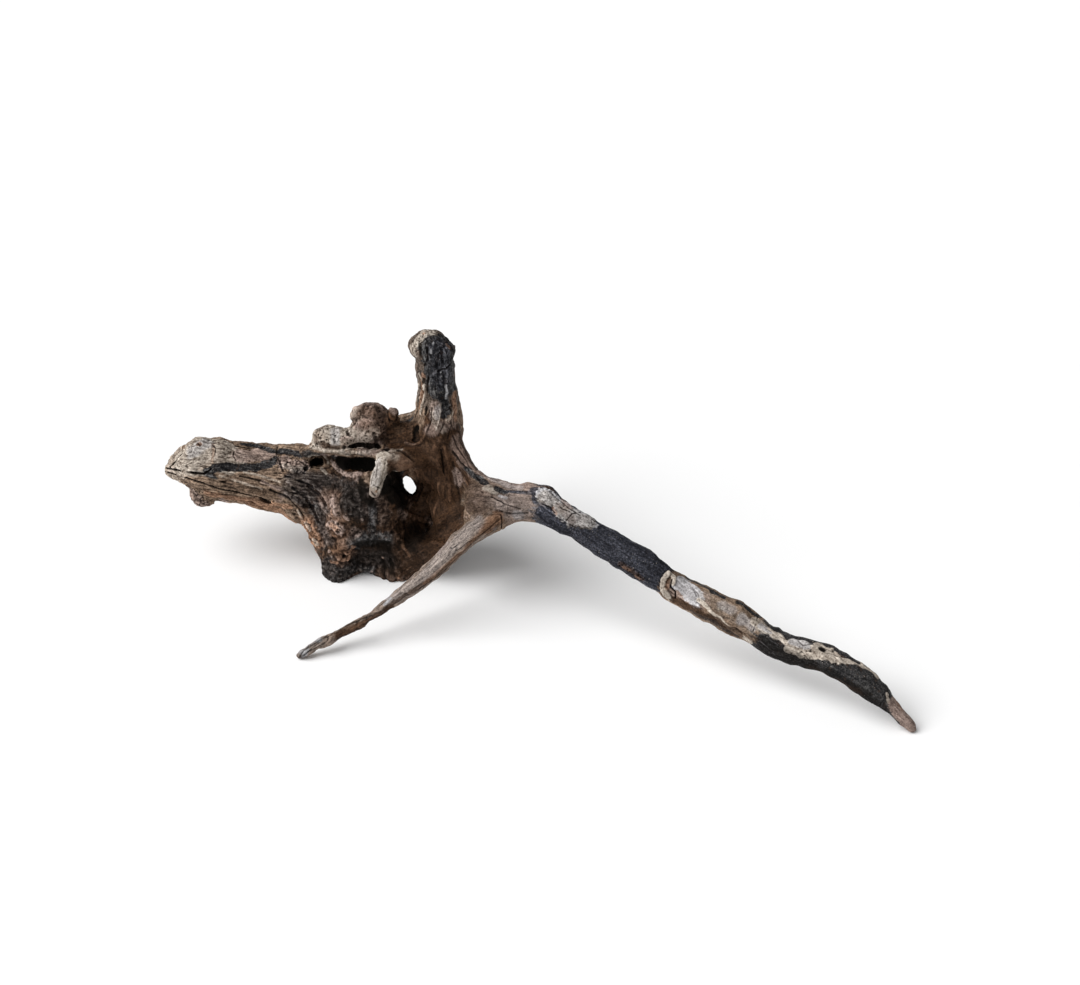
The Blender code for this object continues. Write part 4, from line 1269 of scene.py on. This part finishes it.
def finish_piece(node, colours, thread=THREAD_WIDTH):
    """Turns a parted skin into the finished piece that stands for one of the frame's solids."""
    material = wood_finish(SLOTS[node], colours, thread)
    thing = bpy.data.objects[node + "_skin"]
    close_fork(thing)
    thing.data.calc_loop_triangles()
    triangles = len(thing.data.loop_triangles)
    if triangles > PIECE_TRIANGLES:
        thin = thing.modifiers.new("thin_out", "DECIMATE")
        thin.ratio = PIECE_TRIANGLES / triangles
        apply_modifiers(thing)
        points = thing.data.vertices
        places = inside_box(read_vectors(points, "co") / MM) * MM
        points.foreach_set("co", places.astype(np.float32).ravel())
    thing.name = node + "_wood"
    thing.data.name = node + "_wood"
    thing.data.materials.clear()
    thing.data.materials.append(material)
    thing.data.polygons.foreach_set("material_index", np.zeros(len(thing.data.polygons), np.int32))
    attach(thing, "root")
    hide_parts(node)


class Wire:
    """A socket of numbers that can be used in sums and products."""

    def __init__(self, finish, socket):
        self.finish = finish
        self.socket = socket

    def math(self, operation, other, first=None):
        values = {0: self if first is None else first, 1: other}
        return self.finish.node("ShaderNodeMath", {"operation": operation}, values)

    def __add__(self, other):
        return self.math("ADD", other)

    def __sub__(self, other):
        return self.math("SUBTRACT", other)

    def __mul__(self, other):
        return self.math("MULTIPLY", other)

    def __truediv__(self, other):
        return self.math("DIVIDE", other)

    def __rsub__(self, other):
        return self.math("SUBTRACT", self, first=other)

    __radd__ = __add__
    __rmul__ = __mul__


class Finish:
    """Builds one wood material, node by node."""

    def __init__(self, name):
        self.material = bpy.data.materials.new(name)
        self.material.use_nodes = True
        self.tree = self.material.node_tree
        self.shader = self.tree.nodes["Principled BSDF"]

    def node(self, kind, settings=None, inputs=None, output=0):
        made = self.tree.nodes.new(kind)
        for key, value in (settings or {}).items():
            setattr(made, key, value)
        for key, value in (inputs or {}).items():
            self.feed(made.inputs[key], value)
        return Wire(self, made.outputs[output])

    def feed(self, socket, value):
        if isinstance(value, Wire):
            self.tree.links.new(value.socket, socket)
        else:
            socket.default_value = value

    def attribute(self, name, output="Fac"):
        return self.node("ShaderNodeAttribute", {"attribute_name": name}, output=output)

    def stretched(self, vector, scale):
        return self.node(
            "ShaderNodeVectorMath", {"operation": "MULTIPLY"}, {0: vector, 1: Vector(scale)}
        )

    def noise(self, vector, detail=2.0, roughness=0.55):
        return self.node(
            "ShaderNodeTexNoise", {"noise_dimensions": "3D"},
            {"Vector": vector, "Scale": 1.0, "Detail": detail, "Roughness": roughness},
        )

    def clamp(self, value):
        return self.node("ShaderNodeClamp", inputs={0: value, 1: 0.0, 2: 1.0})

    def mixed(self, share, first, second):
        """A colour between two others."""
        made = self.tree.nodes.new("ShaderNodeMix")
        made.data_type = "RGBA"
        self.feed(made.inputs[0], share)
        self.feed(made.inputs[6], first)
        self.feed(made.inputs[7], second)
        return Wire(self, made.outputs[2])


def opaque(colour):
    """A colour with full cover, as a shader's socket takes it."""
    return (*colour, 1.0)


def wood_finish(name, colours, thread):
    """Weathered wood that shows each tone where the skin says so, with fine grain and grit."""
    finish = Finish(name)
    grain = finish.attribute("grain", "Vector")
    places = finish.node("ShaderNodeTexCoord", output="Object")
    per_mm = 1 / MM
    waves_size = (per_mm / THREAD_LENGTH, per_mm / thread, per_mm / thread)
    threads = finish.noise(finish.stretched(grain, waves_size), detail=3.0)
    grit = finish.noise(finish.stretched(places, (per_mm / FINE_GRIT,) * 3), detail=3.0, roughness=0.6)
    dust = finish.noise(finish.stretched(places, (per_mm / FINE_DUST,) * 3), detail=1.0)
    fibre = finish.attribute("fibre")
    thready = finish.attribute("thready")
    shade = fibre + (threads - 0.5) * thready * THREAD_CONTRAST + (grit - 0.5) * GRIT_CONTRAST
    shade = finish.clamp(shade)
    shade = shade.math("POWER", SHADE_POWER)
    masks = {tone: finish.attribute(tone) for tone in TONES}
    colour = finish.mixed(shade, opaque(colours.wood_deep), opaque(colours.wood_raised))
    rough = WOOD_ROUGHNESS + (grit - 0.5) * GRIT_ROUGHNESS
    bare = 1.0
    for tone in TONES:
        bare = bare - masks[tone]
    covered = finish.clamp(bare)
    for tone in TONES:
        mask = masks[tone]
        if tone == "dirt":
            own = opaque(colours.dirt)
        else:
            deep, raised = getattr(colours, tone + "_deep"), getattr(colours, tone + "_raised")
            # Char and blue char take their raised colour only on the highest grains, as a painted sheen
            depth = shade * shade if tone in BURNT else shade
            own = finish.mixed(depth, opaque(deep), opaque(raised))
        covered = covered + mask
        share = finish.clamp(mask / (covered + LEAST_COVERED))
        colour = finish.mixed(share, colour, own)
        rough = rough + share * (ROUGHNESS[tone] - rough)
    mottle = finish.noise(finish.stretched(places, (per_mm / FINE_MOTTLING,) * 3))
    flecks = finish.clamp((mottle - FLECKS_FROM) * SPECK_EDGE) * masks["char"] * FLECKS
    colour = finish.mixed(flecks, colour, opaque(colours.rich_raised))
    specks = finish.clamp((dust - SPECKS_FROM) * SPECK_EDGE)
    specks = specks * (masks["char"] + masks["blue"]) * SPECKS
    colour = finish.mixed(specks, colour, opaque(colours.pale_raised))
    finish.feed(finish.shader.inputs["Base Color"], colour)
    finish.feed(finish.shader.inputs["Roughness"], rough)
    height = threads * thready * THREAD_BUMP + grit * GRIT_BUMP
    bump = finish.node(
        "ShaderNodeBump", None,
        {"Strength": BUMP_STRENGTH, "Distance": BUMP_HEIGHT * MM, "Height": height},
    )
    finish.feed(finish.shader.inputs["Normal"], bump)
    finish.shader.inputs["Specular IOR Level"].default_value = SPECULAR
    return finish.material


class SINKER_OT_root_crown(bpy.types.Operator):
    """Finish the gnarled root crown"""

    bl_idname = "sinker_wood.root_crown"
    bl_label = "Root Crown"

    def execute(self, context):
        finish_piece("root_crown", context.scene.sinker_wood_colours)
        return {"FINISHED"}


class SINKER_OT_left_limb(bpy.types.Operator):
    """Finish the thick limb on the left"""

    bl_idname = "sinker_wood.left_limb"
    bl_label = "Left Limb"

    def execute(self, context):
        finish_piece("left_limb", context.scene.sinker_wood_colours)
        return {"FINISHED"}


class SINKER_OT_upright_limb(bpy.types.Operator):
    """Finish the charred upright limb"""

    bl_idname = "sinker_wood.upright_limb"
    bl_label = "Upright Limb"

    def execute(self, context):
        finish_piece("upright_limb", context.scene.sinker_wood_colours)
        return {"FINISHED"}


class SINKER_OT_long_branch(bpy.types.Operator):
    """Finish the long branch"""

    bl_idname = "sinker_wood.long_branch"
    bl_label = "Long Branch"

    def execute(self, context):
        finish_piece("long_branch", context.scene.sinker_wood_colours)
        return {"FINISHED"}


class SINKER_OT_front_leg(bpy.types.Operator):
    """Finish the thin front leg"""

    bl_idname = "sinker_wood.front_leg"
    bl_label = "Front Leg"

    def execute(self, context):
        finish_piece("front_leg", context.scene.sinker_wood_colours, THIN_THREADS)
        return {"FINISHED"}


class SINKER_OT_hook_spur(bpy.types.Operator):
    """Finish the short hooked spur"""

    bl_idname = "sinker_wood.hook_spur"
    bl_label = "Hook Spur"

    def execute(self, context):
        finish_piece("hook_spur", context.scene.sinker_wood_colours, THIN_THREADS)
        return {"FINISHED"}


def lay_floor(scene):
    """Lays the plain floor that the wood rests on."""
    shape = bmesh.new()
    bmesh.ops.create_grid(shape, x_segments=1, y_segments=1, size=FLOOR_REACH / 2)
    mesh = bpy.data.meshes.new("floor")
    shape.to_mesh(mesh)
    shape.free()
    floor = bpy.data.objects.new("floor", mesh)
    scene.collection.objects.link(floor)
    finish = Finish("floor_paper")
    finish.shader.inputs["Base Color"].default_value = opaque(scene.sinker_wood_colours.floor)
    finish.shader.inputs["Roughness"].default_value = PAPER_ROUGHNESS
    finish.shader.inputs["Specular IOR Level"].default_value = 0.0
    floor.data.materials.append(finish.material)


def hang_lights(scene):
    """Hangs the soft lights and lights the surroundings evenly."""
    for name, way, strength, spread in LIGHTS:
        data = bpy.data.lights.new(name, "SUN")
        data.energy = strength
        data.angle = math.radians(spread)
        lamp = bpy.data.objects.new(name, data)
        lamp.rotation_euler = (-Vector(way)).to_track_quat("-Z", "Y").to_euler()
        scene.collection.objects.link(lamp)
    world = bpy.data.worlds.new("studio")
    world.use_nodes = True
    background = world.node_tree.nodes["Background"]
    background.inputs["Color"].default_value = (1, 1, 1, 1)
    background.inputs["Strength"].default_value = WORLD_STRENGTH
    scene.world = world


def set_camera(scene):
    """Sets the camera at the photograph's viewing angle."""
    view = Camera()
    data = bpy.data.cameras.new("camera")
    data.lens = LENS
    data.sensor_width = SENSOR
    camera = bpy.data.objects.new("camera", data)
    camera.location = view.place
    camera.rotation_euler = view.way.to_track_quat("-Z", "Y").to_euler()
    scene.collection.objects.link(camera)
    scene.camera = camera
    scene.view_settings.view_transform = "Standard"


class SINKER_OT_stage(bpy.types.Operator):
    """Lay the pale floor, hang the soft lights and set the camera"""

    bl_idname = "sinker_wood.stage"
    bl_label = "Stage"

    def execute(self, context):
        lay_floor(context.scene)
        hang_lights(context.scene)
        set_camera(context.scene)
        return {"FINISHED"}


class SINKER_PT_panel(bpy.types.Panel):
    """Sizes, colours and steps of the sinker wood"""

    bl_idname = "SINKER_PT_panel"
    bl_label = "Sinker Wood"
    bl_space_type = "VIEW_3D"
    bl_region_type = "UI"
    bl_category = "Sinker Wood"

    def draw(self, context):
        for group in (context.scene.sinker_wood_sizes, context.scene.sinker_wood_colours):
            box = self.layout.box()
            for key in group.__annotations__:
                box.prop(group, key)
        for operator in OPERATORS:
            self.layout.operator(operator.bl_idname)


OPERATORS = [
    SINKER_OT_skin, SINKER_OT_root_crown, SINKER_OT_left_limb, SINKER_OT_upright_limb,
    SINKER_OT_long_branch, SINKER_OT_front_leg, SINKER_OT_hook_spur, SINKER_OT_stage,
]
CLASSES = [SinkerWoodSizes, SinkerWoodColours, *OPERATORS, SINKER_PT_panel]


def register():
    for each in CLASSES:
        bpy.utils.register_class(each)
    bpy.types.Scene.sinker_wood_sizes = bpy.props.PointerProperty(type=SinkerWoodSizes)
    bpy.types.Scene.sinker_wood_colours = bpy.props.PointerProperty(type=SinkerWoodColours)


def unregister():
    del bpy.types.Scene.sinker_wood_sizes
    del bpy.types.Scene.sinker_wood_colours
    for each in reversed(CLASSES):
        bpy.utils.unregister_class(each)


def main():
    register()
    bpy.ops.sinker_wood.skin()
    bpy.ops.sinker_wood.root_crown()
    bpy.ops.sinker_wood.left_limb()
    bpy.ops.sinker_wood.upright_limb()
    bpy.ops.sinker_wood.long_branch()
    bpy.ops.sinker_wood.front_leg()
    bpy.ops.sinker_wood.hook_spur()
    bpy.ops.sinker_wood.stage()


if __name__ == "__main__":
    main()
